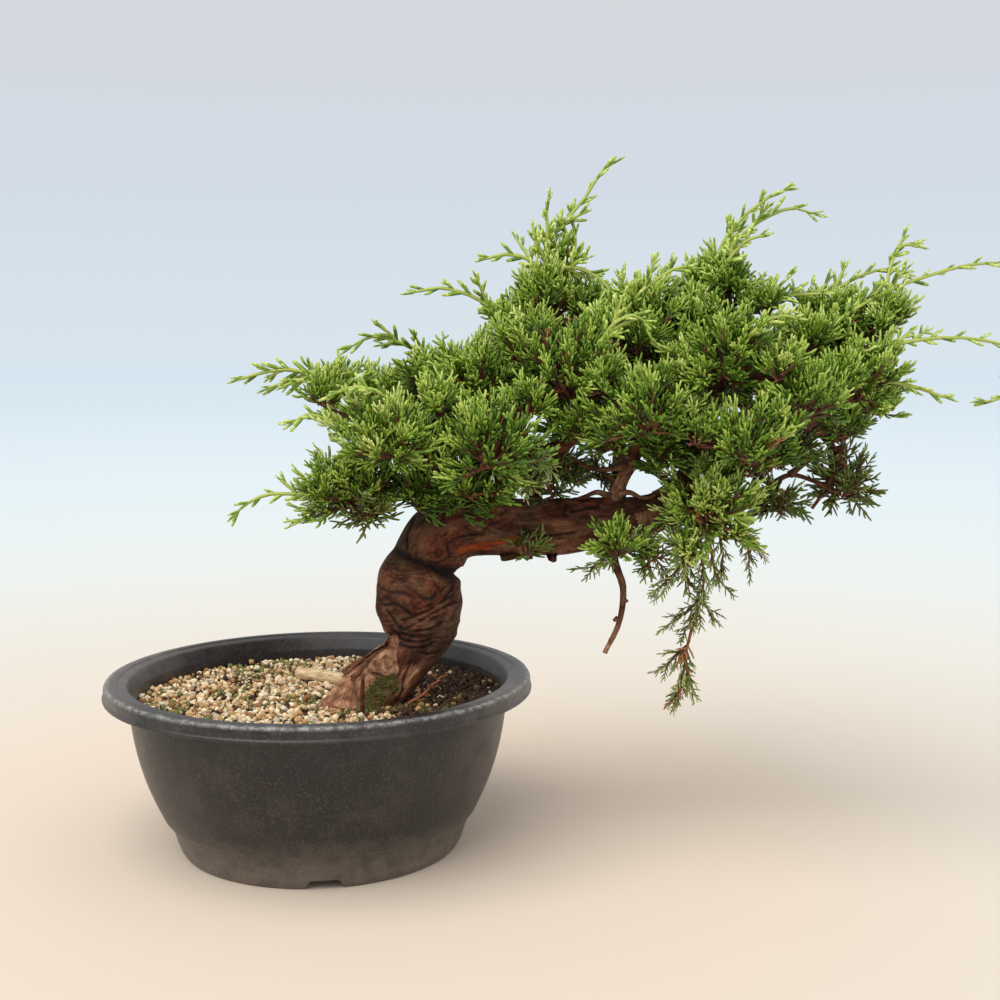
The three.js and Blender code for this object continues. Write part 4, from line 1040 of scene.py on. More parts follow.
# Loose bark: upper and lower edge as [x, z] seen from the front, how far the lower edge stands off, and
# how tan the strip is
FLAPS = [
    ([[97, 170.2], [108, 173.6], [124, 175.2], [141, 174.8], [149, 172.5]],
     [[99, 167.2], [102.5, 163.4], [114, 163.9], [127.5, 164.6], [131, 162.9], [139, 164.9], [149, 168.6]],
     1.6, 0.25),
    ([[43.4, 123.8], [45.3, 123.8]],
     [[28.8, 107.6], [37.3, 104.4], [47.5, 103.4]], 1.5, 0.6),
    ([[42.4, 121.7], [32.3, 115.6], [23.5, 111.0], [15.8, 105.0]],
     [[41.3, 120.3], [32.5, 113.4], [24.4, 108.1], [16.4, 101.0]], 1.5, 0.4),
    ([[40.5, 119.4], [32.7, 112.7], [25.8, 107.5], [20.6, 102.6]],
     [[39.6, 118.0], [32.7, 111.0], [26.9, 105.8], [22.1, 100.6]], 0.9, 0.1),
    ([[27.1, 105.6], [31.8, 104.3], [36.6, 102.4]],
     [[12.3, 88.8], [19.3, 86.8], [26.8, 87.6]], 1.2, 0.7),
    ([[178, 188.5], [185, 190], [192, 189]],
     [[179, 183], [186, 181.5], [193, 183.5]], 1.6, 0.7),
]
FLAP_THICKNESS = 0.8


def flap_edges(upper, lower, seed):
    """The upper and the lower edge of a strip, ragged and with the same number of places."""
    edges = [evened(np.array(edge, float)[:, [0, 1, 1]] * [1, 1, 0], 0.7)[0] for edge in (upper, lower)]
    for edge in edges:
        edge[:, :2] += 0.5 * np.stack([lumps(edge, 4, seed + 20), lumps(edge, 4, seed + 30)], axis=1)
    even = np.linspace(0, 1, max(len(edge) for edge in edges))
    return [np.column_stack([np.interp(even, np.linspace(0, 1, len(edge)), column) for column in edge.T[:2]])
            for edge in edges]


def flap_faces(rungs, count):
    """Faces of a strip: its front, its back and the rim between them."""
    size = rungs * count
    front = ring_faces(rungs, count, closed=False)
    rim = np.concatenate([np.arange(count), np.arange(1, rungs) * count + count - 1,
                          (rungs - 1) * count + np.arange(count - 2, -1, -1),
                          np.arange(rungs - 2, 0, -1) * count])
    following = np.roll(rim, -1)
    return [front, front[:, ::-1] + size, np.stack([following, rim, rim + size, following + size], axis=1)]


def flap_parts(upper, lower, lift, tan, skin, seed):
    """One loose strip of bark, laid on the front of the trunk and curling off it at its lower edge."""
    rows = flap_edges(upper, lower, seed)
    count = len(rows[0])
    down = np.linspace(0, 1, max(4, round(np.linalg.norm(rows[0] - rows[1], axis=1).mean() / 0.8)) + 1)
    places = np.zeros((len(down), count, 3))
    frayed = 1.3 * lumps(down[:, None] * [30, 0, 0], 5, seed + 40)
    for i in range(len(down)):
        for j in range(count):
            x, z = mixed(rows[0][j], rows[1][j], i / (len(down) - 1))
            x += frayed[i] * (2 * j / (count - 1) - 1) ** 3
            hit = skin.ray_cast((x, -120, z), (0, 1, 0))[0]
            places[i, j] = (x, (hit or skin.find_nearest((x, -30, z))[0]).y, z)
    fibre = lumps(places, 2.4, seed)
    places[..., 1] -= 0.35 + eased(down, 0.15, 1)[:, None] * lift * (0.75 + 0.5 * fibre)
    places[-1, :, 2] += 0.5 * lumps(places[-1], 1.7, seed + 1)
    points = np.vstack([places.reshape(-1, 3), (places + [0, FLAP_THICKNESS, 0]).reshape(-1, 3)])
    grain = points + [0, 0, 900 + 40 * seed]
    marks = np.tile([0, 0, tan], (len(points), 1))
    return points, flap_faces(len(down), count), grain * MM, marks, np.zeros(len(points))


def make_flaps(bark, skin):
    """Strips of loose bark on the front of the trunk."""
    points, faces, grain, marks, depth = joined([flap_parts(*flap, skin, i) for i, flap in enumerate(FLAPS)])
    fields = {"grain": grain, "marks": marks, "depth": depth}
    dress(build("loose_bark", points, faces, [bark], fields=fields), "bark")


# Pot


def rounded(profile, size):
    """The profile with each corner taken off by a small curve."""
    out = [profile[0]]
    for before, at, after in zip(profile, profile[1:], profile[2:]):
        before, at, after = (np.array(p, float) for p in (before, at, after))
        for share in (0, 0.35, 0.65, 1):
            start = at + unit(before - at) * min(size, np.linalg.norm(before - at) * 0.45)
            end = at + unit(after - at) * min(size, np.linalg.norm(after - at) * 0.45)
            out.append((1 - share) ** 2 * start + 2 * share * (1 - share) * at + share ** 2 * end)
    return np.array(out + [profile[-1]], float)


def pot_profile():
    """Radius and height round the pot's section, from the middle of its underside to that of its floor."""
    bowed = curve([[r, z, 0] for r, z in BODY], 6)[:, :2]
    outside = [[FOOT_RADIUS, 0], [79.4, 2.2], [81, 6], [83, 12.5], [84.6, 16], [86.6, 19]] + bowed.tolist()
    rim = [[118.6, 88.5], [POT_RADIUS, 89], [POT_RADIUS, 90.4], [119.2, 91], [119.3, 95.2], [118.4, 96.9],
           [117.2, 97.2], [116.8, 96.9], [116.2, 97.4], [112.4, POT_HEIGHT], [111.6, 96.7], [108.2, 96.4],
           [106.6, 95.9], [105.9, 94.6]]
    inside = [[r - POT_WALL, z] for r, z in bowed[::-1]]
    floor = [[75.5, FLOOR_TOP], [0, FLOOR_TOP]]
    underside = [[0, 0], [14, 0], [14.5, 6], [65.5, 6], [66, 0]]
    return underside + outside + rim + inside + floor


def make_pot(plastic):
    """The pot turned from its profile, with arched notches in its foot ring and drain holes."""
    profile = rounded(pot_profile(), 0.6)[1:-1]
    turn, ring = circle(POT_SEGMENTS)
    points = np.zeros((len(profile), POT_SEGMENTS, 3))
    points[..., :2] = profile[:, None, :1] * ring
    points[..., 2] = profile[:, None, 1]
    off = (turn - math.radians(NOTCH_TURN)) / (2 * math.pi / NOTCHES)
    across = np.abs(off - np.round(off)) * 2 * math.pi / NOTCHES * FOOT_RADIUS
    slope = (NOTCH_FOOT - NOTCH_TOP) / 2
    arch = NOTCH_HEIGHT * np.clip((NOTCH_FOOT / 2 - across) / slope, 0, 1)
    in_ring = (profile[:, 0] > 65) & (profile[:, 1] < NOTCH_HEIGHT)
    points[in_ring, :, 2] = np.maximum(points[in_ring, :, 2], arch)
    pot = build("pot_shell", *capped(points, [0, 0, 0], [0, 0, FLOOR_TOP]), [plastic])
    cut_drains(pot)
    dress(pot, "pot", "pot")


def cut_drains(pot):
    """Bores the drain holes through the pot's floor, halfway between the notches."""
    ring = DRAIN_RADIUS * circle(DRILL_SIDES)[1]
    for k in range(NOTCHES):
        heading = math.radians(NOTCH_TURN + (k + 0.5) * 360 / NOTCHES)
        middle = DRAIN_CIRCLE * np.array([math.cos(heading), math.sin(heading)])
        ends = [np.column_stack([middle + ring, np.full(len(ring), z)]) for z in DRILL_REACH]
        drill = build("drill", *capped(np.array(ends), *([*middle, z] for z in DRILL_REACH)), [])
        cut = pot.modifiers.new("drain", "BOOLEAN")
        cut.object = drill
        cut.solver = "EXACT"
        applied(pot)
        bpy.data.objects.remove(drill)


def applied(piece):
    """Makes a piece's modifiers part of its mesh."""
    graph = bpy.context.evaluated_depsgraph_get()
    graph.update()
    mesh = bpy.data.meshes.new_from_object(piece.evaluated_get(graph))
    piece.modifiers.clear()
    piece.data = mesh


# Soil


def soil_top(x, y):
    """Height of the soil, as in the part's source."""
    away = np.hypot(x - MOUND_CENTRE[0], y - MOUND_CENTRE[1])
    fall = eased(away, MOUND_REACH * 0.55, MOUND_REACH * 1.6)
    ripple = 0.7 * np.sin(x * 0.11 + 1.3) * np.cos(y * 0.13)
    return mixed(GROUND, SOIL_EDGE, fall) + ripple * fall


# Body of the soil: radius and height of its foot and its brim, its gap to the pot's wall, its sides, the
# rings of its top, and the size of its crumbs
SOIL_FOOT = [BODY[0][0] - 10, 9.3]
SOIL_BRIM = [102.2, 78]
SOIL_GAP = 0.6
SOIL_SIDES = 260
SOIL_RINGS = 70
CRUMB = 3.5


def make_soil(soil):
    """The body of the soil: its wall follows the pot and its top is rough with crumbs."""
    wall = [SOIL_FOOT, *([radius - POT_WALL - SOIL_GAP, height] for radius, height in BODY[1:-1]), SOIL_BRIM]
    ring = circle(SOIL_SIDES)[1]
    rings = [np.column_stack([ring * radius, np.full(SOIL_SIDES, height)]) for radius, height in wall]
    for radius in np.linspace(SOIL_RADIUS - 2, 1.5, SOIL_RINGS):
        flat = ring * radius
        rough_top = np.column_stack([flat, soil_top(*flat.T)])
        rough_top[:, 2] += 0.7 * rough(rough_top, CRUMB, 81) - 1.0
        rings.append(rough_top)
    skin, faces = capped(np.array(rings), [0, 0, wall[0][1]], rings[-1].mean(0))
    dress(build("soil_fines", skin, faces, [soil]), "soil", "soil")


def ball(level):
    """Points and faces of a ball of triangles, one long."""
    shape = bmesh.new()
    bmesh.ops.create_icosphere(shape, subdivisions=level, radius=1)
    points = np.array([corner.co for corner in shape.verts])
    faces = np.array([[corner.index for corner in face.verts] for face in shape.faces])
    shape.free()
    return points, faces


def turned(random, count):
    """Random turns in all directions, as matrices."""
    first = unit(random.normal(size=(count, 3)))
    second = unit(np.cross(first, unit(random.normal(size=(count, 3)))))
    return np.stack([first, second, np.cross(first, second)], axis=2)


# Grains: colours, and their shares on plain soil, in green patches and on the dark soil, which lies to the
# right of the trunk between these places in x and in y
GRAIN_COLOURS = ["#e6d2ac", "#d2b386", "#b38c5c", "#8c6439", "#3a220d", "#b5a68c", "#6d6a35", "#d9cdb0"]
GRAIN_SHARES = [0.2, 0.22, 0.19, 0.13, 0.05, 0.08, 0.06, 0.07]
GREEN_GRAINS = [0.1, 0.12, 0.1, 0.1, 0.12, 0.06, 0.36, 0.04]
DARK_GRAINS = [0.01, 0.01, 0.02, 0.07, 0.84, 0.0, 0.05, 0.0]
DARK_FROM = ((34, 52), (-72, -50))


def grain_shares(places):
    """How the grain colours are shared out at a place: greener in patches, darker right of the trunk."""
    x, y = places.T
    green = eased(lumps(np.column_stack([places, 0 * x]), 26, 91), 0.1, 0.5)[:, None]
    dark = (eased(x, *DARK_FROM[0]) * eased(y, *DARK_FROM[1]))[:, None]
    shares = mixed(np.array(GRAIN_SHARES), np.array(GREEN_GRAINS), green)
    return mixed(shares, np.array(DARK_GRAINS), dark)


def grains(random, count, sizes, level, kinds):
    """Crushed-stone grains lying on the soil: points, faces and the colour of each face."""
    shape, faces = ball(level)
    reach = SOIL_RADIUS - 2.5
    away = reach * np.sqrt(random.random(count))
    heading = random.random(count) * 2 * math.pi
    places = np.column_stack([away * np.cos(heading), away * np.sin(heading)])
    size = random.uniform(*sizes, count) / 2
    squash = random.uniform(0.65, 1.1, (count, 3))
    moulds = np.stack([shape * (1 + random.uniform(-0.24, 0.2, (len(shape), 1))) for _ in range(kinds)])
    stones = moulds[random.integers(0, kinds, count)] * squash[:, None]
    stones = np.einsum("nij,nvj->nvi", turned(random, count), stones) * size[:, None, None]
    level_up = soil_top(*places.T) + size * random.uniform(-0.3, 0.8, count)
    stones += np.column_stack([places, level_up])[:, None]
    chances = np.cumsum(grain_shares(places), axis=1)
    colour = (random.random(count)[:, None] > chances / chances[:, -1:]).sum(1)
    every = faces[None] + (np.arange(count) * len(shape))[:, None, None]
    return stones.reshape(-1, 3), every.reshape(-1, 3), np.repeat(colour, len(faces))


def make_grains(stones):
    """Smooth grains, sharp chips and small crumbs, which cover the soil."""
    random = np.random.default_rng(5)
    for name, count, sizes, level, smooth in [
            ("soil_grains", GRAIN_COUNT // 2, GRAIN_SIZES, 2, True),
            ("soil_chips", GRAIN_COUNT // 2, GRAIN_SIZES, 1, False),
            ("soil_crumbs", CRUMB_COUNT, CRUMB_SIZES, 1, False)]:
        points, faces, colour = grains(random, count, sizes, level, 12)
        dress(build(name, points, [faces], stones, colour, smooth), "soil")


# Foliage


def cords(paths, radii, sides=3):
    """Round cords, each along its own row of places to a blunt end. Returns the points of each cord and
    the faces of one."""
    count, stations, _ = paths.shape
    along = unit(paths[:, -1] - paths[:, 0])
    lean = np.where(np.abs(along[:, 2:]) > 0.9, [[1.0, 0, 0]], [[0, 0, 1.0]])
    across = unit(np.cross(lean, along))
    over = np.cross(along, across)
    circled = circle(sides)[1]
    ring = across[:, None] * circled[:, :1] + over[:, None] * circled[:, 1:]
    rings = paths[:, :-1, None] + ring[:, None] * radii[:, :-1, None, None]
    points = np.concatenate([rings.reshape(count, -1, 3), paths[:, -1:]], axis=1)
    quads = ring_faces(stations - 1, sides)
    halves = np.concatenate([quads[:, [0, 1, 2]], quads[:, [0, 2, 3]]])
    tip = cap_faces((stations - 2) * sides, sides, (stations - 1) * sides, False)
    return points, np.concatenate([halves, tip])


def many(points, faces):
    """Points and faces of all cords together."""
    step = points.shape[1]
    every = faces[None] + (np.arange(len(points)) * step)[:, None, None]
    return points.reshape(-1, 3), every.reshape(-1, 3)


class Spray:
    """A spray along +x, built finger by finger. Its ages are 0 on the axis, 1 on old fingers and 2 on young
    ones, and the outer part of each finger is a step younger."""

    def __init__(self, shares=(0, 0.55, 0.9, 1), widths=(0.85, 1, 0.9, 0)):
        self.shares = np.array(shares)[:, None]
        self.widths = np.array(widths)
        self.paths = []
        self.radii = []
        self.ages = []

    def finger(self, root, way, size, radius, age, bend=(0, 0, 0)):
        """One cord, straight or bent a little, with a blunt end."""
        root, way, bend = (np.array(each, float) for each in (root, way, bend))
        self.paths.append(root + (way * self.shares + bend * self.shares ** 2) * size)
        self.radii.append(self.widths * radius)
        self.ages.append(age)

    def mesh(self, sides):
        points, faces = many(*cords(np.array(self.paths), np.array(self.radii), sides))
        quads = (len(self.widths) - 2) * sides
        outer = np.arange(2 * quads + sides) % quads >= quads - sides
        outer[2 * quads:] = True
        ages = np.array(self.ages)[:, None]
        return points, faces, (ages + (outer & (ages > 0))).ravel()


def turned_way(way, angle, lift):
    """A direction turned in the spray's own plane and lifted a little out of it."""
    c, s = math.cos(angle), math.sin(angle)
    return unit(np.array([way[0] * c - way[1] * s, way[0] * s + way[1] * c, way[2] + lift]))


def finger_way(random, side, opening, spread, roll, ahead):
    """The way of a finger on one side of a spray, and the way square to the spray's axis that it leans to."""
    roll = random.uniform(-roll, roll)
    angle = math.radians(opening) * random.uniform(*spread)
    outward = np.array([0, side * math.cos(roll), math.sin(roll)])
    return unit(math.cos(angle) * np.array(ahead) + math.sin(angle) * outward), outward


def dense_spray(random, length=15.5, fingers=8):
    """A spray of the crown: blunt fingers on all sides that bend forward, some of them with a short lobe."""
    spray = Spray()
    lift = random.uniform(-0.1, 0.3)
    end = np.array([0.55, random.uniform(-0.05, 0.05), 0.25 * lift]) * length
    spray.finger([0, 0, 0], unit(end), np.linalg.norm(end), CORD_RADIUS * 0.9, 0)
    spray.finger(end, unit(np.array([1, random.uniform(-0.2, 0.2), lift])), length * 0.46, CORD_RADIUS, 2,
                 [0, random.uniform(-0.2, 0.2), 0.15])
    for k in range(fingers):
        t = mixed(0.1, 0.9, k / (fingers - 1))
        side = 1 if k % 2 else -1
        way, outward = finger_way(random, side, mixed(60, 36, t), (0.85, 1.15), 1.1, [1, 0, lift * t])
        size = length * mixed(0.52, 0.36, t) * random.uniform(0.75, 1.2)
        bend = np.array([0.3, 0, 0.14]) - outward * random.uniform(0.1, 0.4)
        root = np.array([t, 0, lift * t * t]) * length
        spray.finger(root, way, size, CORD_RADIUS, 2 if t > 0.4 else 1, bend)
        if k % 3 == 0:
            share = random.uniform(0.4, 0.6)
            turn = math.radians(random.uniform(34, 50)) * side * random.choice([-1, 1])
            spray.finger(root + (way * share + bend * share ** 2) * size, turned_way(way, turn, 0.25),
                         random.uniform(2.6, 4), CORD_RADIUS * 0.95, 2, [0.15, 0, 0.1])
    return spray.mesh(3)


def open_spray(random, length=13, fingers=7):
    """A spray of the shade: long thin fingers, more like needles, well apart."""
    spray = Spray((0, 0.5, 0.86, 1), (0.9, 1, 0.75, 0))
    spray.finger([0, 0, 0], np.array([1.0, 0, 0]), length, NEEDLE_RADIUS * 0.9, 0)
    for k in range(fingers):
        t = mixed(0.12, 0.9, k / (fingers - 1))
        side = 1 if k % 2 else -1
        way, outward = finger_way(random, side, mixed(56, 32, t), (0.8, 1.15), 1.0, [1, 0, 0])
        size = length * mixed(0.62, 0.4, t) * random.uniform(0.75, 1.15)
        spray.finger([t * length, 0, 0], way, size, NEEDLE_RADIUS, 2 if t > 0.5 else 1,
                     [0.12, 0, 0] - outward * random.uniform(-0.05, 0.25))
    return spray.mesh(3)


def sprig_spray(random):
    """A sprig of a runner: one thick blunt finger, bent a little, with up to two short ones at its sides."""
    spray = Spray((0, 0.35, 0.7, 0.92, 1), (0.85, 1, 1, 0.8, 0))
    radius = CORD_RADIUS * 1.35
    spray.finger([0, 0, 0], [1, 0, 0.05], random.uniform(8.5, 11), radius, 1,
                 [0.1, random.uniform(-0.12, 0.12), 0])
    for k in range(random.integers(0, 3)):
        side = 1 if k % 2 else -1
        way = turned_way(np.array([1.0, 0, 0]), side * math.radians(random.uniform(24, 34)), 0.1)
        spray.finger([mixed(2.6, 5.4, k), 0, 0], way, random.uniform(4, 5.6), radius * 0.95, 2,
                     [0.15, -0.22 * side, 0])
    return spray.mesh(5)


def reach(mass, directions):
    """Distance from the centre of a mass to its skin, as in the part's source, with its loose fringe."""
    a, b, c = np.array(mass["half"]) + (FRINGE if min(mass["half"]) > 12 else 0)
    width = 1 - mass.get("narrow", 0) * directions[..., 2]
    shares = np.stack([directions[..., 0] / (a * width), directions[..., 1] / (b * width),
                       directions[..., 2] / c])
    return (np.abs(shares) ** BLUNTNESS).sum(0) ** (-1 / BLUNTNESS)


def walls_of(mass):
    """Walls between a mass and each other one, as directions and limits along them."""
    if "name" not in mass:
        return np.array([UP]), np.array([np.inf])
    centre = np.array(mass["centre"], float)
    others = [other for other in MASSES if other is not mass]
    span = np.array([other["centre"] for other in others], float) - centre
    apart = np.linalg.norm(span, axis=1)
    towards = span / apart[:, None]
    own = reach(mass, towards)
    theirs = np.array([reach(other, -way) for other, way in zip(others, towards)])
    return towards, towards @ centre + apart * own / (own + theirs)


def room(mass, walls, directions):
    """How far a mass can grow in each direction before it meets a wall."""
    towards, limits = walls
    toward_wall = directions @ towards.T
    left = limits - towards @ np.array(mass["centre"], float)
    stops = np.where(toward_wall > 1e-6, left / np.maximum(toward_wall, 1e-6), np.inf)
    return np.minimum(reach(mass, directions), stops.min(1))


def in_space(points, walls, margin):
    """Whether points lie within the walls, or past them by no more than the margin."""
    towards, limits = walls
    return (points @ towards.T < limits + margin).all(-1)


def even_directions(count, turn):
    """Directions spread evenly over a ball."""
    k = np.arange(count)
    z = 1 - (2 * k + 1) / count
    flat = np.sqrt(1 - z * z)
    heading = k * GOLDEN_TURN + turn
    return np.stack([flat * np.cos(heading), flat * np.sin(heading), z], axis=1)


def arched(start, end, rise, shares):
    """Places on a bent line that first rises and then reaches out."""
    middle = (start + end) / 2 + UP * rise
    s = np.asarray(shares)[:, None]
    return (1 - s) ** 2 * start + 2 * s * (1 - s) * middle + s ** 2 * end


def leaning(along, angle, roll):
    """A direction that leans off another by an angle, turned round it by the roll."""
    lean = UP if abs(along[2]) < 0.9 else np.array([1.0, 0, 0])
    across = unit(np.cross(lean, along))
    over = np.cross(along, across)
    return along * math.cos(angle) + (across * math.cos(roll) + over * math.sin(roll)) * math.sin(angle)


def clump(centre, half, foot, young=0, droop=0):
    """A clump, written as the masses are. Its foot is the name of a bough or a place."""
    return {"centre": centre, "half": half, "on" if isinstance(foot, str) else "start": foot,
            "young": young, "droop": droop}


class Growth:
    """Everything that grows in one mass: woody twigs, green shoots and where each spray stands."""

    def __init__(self):
        self.twigs = []
        self.shoots = []
        self.sprays = []

    def spray(self, root, way, size, tone, kind):
        self.sprays.append((*root, *unit(way), size, tone, kind))

    def twig(self, places, foot, tip):
        self.twigs.append((places, np.linspace(foot, tip, len(places))))

    def shoot(self, places, foot, tip):
        self.shoots.append((places, np.linspace(foot, tip, len(places))))


def grow_tuft(growth, mass, walls, base, tip, outness, random):
    """A tuft: a twig from base to tip with sprays all round it, opening towards its end."""
    droop = mass.get("droop", 0)
    span = np.linalg.norm(tip - base)
    rise = span * (0.08 - 0.16 * droop)
    growth.twig(arched(base, tip, rise, np.linspace(0, 1, 5)), *TUFT_TWIG)
    count = max(LEAST_SPRAYS, round(LEAFY_SHARE * span / (SPRAY_STEP * (1 + 0.3 * droop))))
    mood = mass.get("young", 0) + random.normal() * 0.5
    lean = random.normal(size=3) * 0.22
    for k in range(count):
        t = mixed(TUFT_BARE, 1.0, k / (count - 1))
        root = arched(base, tip, rise, [t])[0]
        angle = math.radians(mixed(*TUFT_OPENING, t ** 1.3)) * random.uniform(0.8, 1.2)
        way = leaning(unit(tip - base), angle, k * GOLDEN_TURN + random.uniform(-0.4, 0.4))
        way = way + UP * (SPRAY_LIFT - SPRAY_SAG * droop) + lean + random.normal(size=3) * 0.1
        size = mixed(1.05, 0.85, t) * random.uniform(0.75, 1.2)
        if not in_space(root + unit(way) * size * 15, walls, 5):
            continue
        # Tone: lighter towards the tip of a tuft and where the mass has room, partly younger growth and
        # partly painted shade inside the crown, and lighter on sprays that face up, which is painted light
        tone = 2.4 * t * outness + 0.6 * way[2] + mood - 0.3 + random.normal() * 0.45
        if t < 0.75 and random.random() < DRY_CHANCE:
            tone, size = DRY, size * 0.7
        growth.spray(root, way, size, tone, OPEN if droop > 0.6 or random.random() < 0.7 * droop else DENSE)


def grow_plume(growth, route, random, size=1.0, young=0.0, bare=0.0, dry=0.0):
    """A hanging plume: a thin twig with open sprays on all sides that point down it, past a bare foot."""
    line = evened(curve(route, 8)[:, :3], 1.5)[0]
    line[1:-1] += random.normal(size=(len(line) - 2, 3)) * 0.3
    stations = np.round(np.linspace(0, len(line) - 1, 9)).astype(int)
    growth.twig(line[stations], *PLUME_TWIG)
    spot = (len(line) - 1) * max(bare, 0.08)
    turn = random.uniform(0, 6)
    while spot < len(line) - 1:
        i = int(spot)
        share = i / len(line)
        along = unit(line[min(i + 2, len(line) - 1)] - line[max(i - 1, 0)])
        way = leaning(along, math.radians(mixed(*PLUME_OPENING, share)), turn) - UP * 0.15
        tone = DRY if random.random() < dry else min(1.3 + young + random.normal() * 0.6, 4)
        growth.spray(line[i], way, size * mixed(0.95, 0.75, share) * random.uniform(0.75, 1.15), tone, OPEN)
        spot += PLUME_STEP * random.uniform(0.7, 1.3)
        turn += GOLDEN_TURN


def grow_runner(growth, mass, route, random):
    """A runner: a long green shoot with short side shoots near the crown and blunt fingers to its tip."""
    centre = np.array(mass["centre"], float)
    tip = np.array(route[-1], float)
    span = np.linalg.norm(tip - centre)
    if tip[2] < centre[2] - 14 and len(route) == 1:
        grow_plume(growth, [mixed(centre, tip, 0.1), mixed(centre, tip, 0.6), tip], random, 0.85)
        return
    if len(route) == 1:
        leaves_at = reach(mass, unit(tip - centre)[None])[0] / span
        route = arched(centre, tip, RUNNER_RISE * span, np.linspace(leaves_at * 0.6, 1, 5)).tolist()
    grow_shoot(growth, evened(curve(route, 12)[:, :3], 1.0)[0], 1.0, random)


def grow_shoot(growth, line, size, random, forks=True):
    """Fingers along a green shoot, by turns left and right, with side shoots on its inner half."""
    count = len(line)
    wander = np.cumsum(random.normal(size=(count, 3)) * 0.09, axis=0)
    wander -= np.linspace(0, 1, count)[:, None] * wander[-1]
    line = line + wander
    stations = np.round(np.linspace(0, count - 1, 11)).astype(int)
    growth.shoot(line[stations], *(radius * size for radius in SHOOT_STEM))
    side = random.choice([-1, 1])
    spot = count * 0.06
    while spot < count - 4:
        i = int(spot)
        outer = i / count
        along = unit(line[min(count - 1, i + 3)] - line[i])
        angle = math.radians(mixed(*SHOOT_OPENING, outer)) * random.uniform(0.85, 1.2)
        turn = side * math.pi / 2 + random.normal() * 0.7
        way = leaning(along, angle, turn) + UP * 0.06
        if forks and count > 30 and 0.05 < outer < 0.5 and random.random() < SIDE_SHOOT_CHANCE:
            length = random.uniform(*SIDE_SHOOT_LENGTHS) * (1 - 0.4 * outer)
            end = line[i] + unit(way) * length
            branch = evened(arched(line[i], end, 1.5, np.linspace(0, 1, 8)), 1.0)[0]
            grow_shoot(growth, branch, size * 0.88, random, False)
        else:
            tone = 3.8 + random.normal() * 0.4
            length = size * mixed(1.1, 0.82, outer) * random.uniform(0.7, 1.15)
            growth.spray(line[i], way, length, tone, SPRIG)
        spot += mixed(*SHOOT_STEPS, outer) * random.uniform(0.75, 1.3) * size
        side = -side
    growth.spray(line[-6], leaning(unit(line[-1] - line[-4]), 0.38, 1.6), 0.62 * size, 4, SPRIG)
    growth.spray(line[-4], line[-1] - line[-4], 0.66 * size, 4, SPRIG)


def foot_of(mass):
    """Where a mass grows from, and how thick its limb is there."""
    if "start" in mass:
        return np.array(mass["start"], float), 1.6
    carrier = mass.get("on") or mass["name"].replace("foliage", "bough")
    _, route, _, tip = next(bough for bough in BOUGHS if bough[0] == carrier)
    if "name" in mass:
        return np.array(route[-1], float), tip
    line = curve(route)[:, :3]
    return line[np.argmin(np.linalg.norm(line - mass["centre"], axis=1))], tip * 0.6


def grow_mass(mass, index):
    """Twigs, shoots and sprays of one mass, from the tip of its bough."""
    random = np.random.default_rng(1000 + 77 * index)
    growth = Growth()
    walls = walls_of(mass)
    start, wide = foot_of(mass)
    if mass.get("tufts", True):
        grow_tufts(growth, mass, walls, start, wide, random)
    for route in mass.get("runners", []) + [route for name, route in SHOOTS if name == mass.get("name")]:
        grow_runner(growth, mass, route, random)
    for plume in mass.get("plumes", []):
        grow_plume(growth, random=random, **plume)
    return growth


def grow_tufts(growth, mass, walls, start, wide, random):
    """Branches from the bough's tip to a few forks, and from each fork to the tufts nearest to it."""
    centre = np.array(mass["centre"], float)
    a, b, c = np.array(mass["half"]) + FRINGE
    surface = 4 * math.pi * (((a * b) ** 1.6 + (a * c) ** 1.6 + (b * c) ** 1.6) / 3) ** (1 / 1.6)
    directions = even_directions(round(surface / TUFT_SPACING ** 2), random.uniform(0, 2 * math.pi))
    directions = unit(directions + random.normal(size=directions.shape) * 0.12)
    fork_ways = even_directions(FORKS, random.uniform(0, 2 * math.pi))
    forks = centre + fork_ways * reach(mass, fork_ways)[:, None] * FORK_REACH - UP * c * 0.2
    for fork in forks:
        growth.twig(arched(start, fork, 2, np.linspace(0, 1, 5)), min(wide * 0.75, 2), 1.1)
    full = reach(mass, directions)
    free = room(mass, walls, directions)
    for direction, whole, space in zip(directions, full, free):
        if space < whole * OPEN_SHARE:
            continue
        if direction[2] < -0.5 and random.random() < 0.4:
            continue
        share = random.uniform(*(LONG_TUFTS if random.random() < TUFT_CHANCE else SHORT_TUFTS))
        share += 0.12 * lumps(centre + direction * whole, 26, 61)
        out = max(min(whole * share, space + 3) - TIP_MARGIN, 5)
        tip = centre + direction * out
        base = centre + direction * out * 0.2 - UP * c * 0.34
        fork = forks[np.argmin(np.linalg.norm(forks - base, axis=1))]
        growth.twig(arched(fork, base, 1, np.linspace(0, 1, 4)), 1.0, 0.8)
        grow_tuft(growth, mass, walls, base, tip, space / whole, random)


def spray_frames(ways, random):
    """For each spray, its direction, the way across it and the way over it, which faces mostly up."""
    over = UP - ways * ways[:, 2:]
    over = unit(over + random.normal(size=ways.shape) * 0.45)
    across = unit(np.cross(over, ways))
    return np.stack([ways, across, np.cross(ways, across)], axis=2)


# Leaf colours of each tone, from shaded to young and last the dry one, on a spray's axis, its old fingers,
# the young ones and their tips: first of the dense sprays and sprigs, then of the open sprays
TONES = [[[6, 0, 1, 1], [6, 0, 1, 2], [6, 1, 2, 3], [6, 1, 3, 4], [2, 2, 4, 5], [6, 7, 7, 7]],
         [[6, 0, 9, 1], [6, 0, 9, 9], [6, 9, 9, 10], [6, 9, 10, 10], [9, 10, 10, 11], [6, 7, 7, 7]]]
DRY = 5


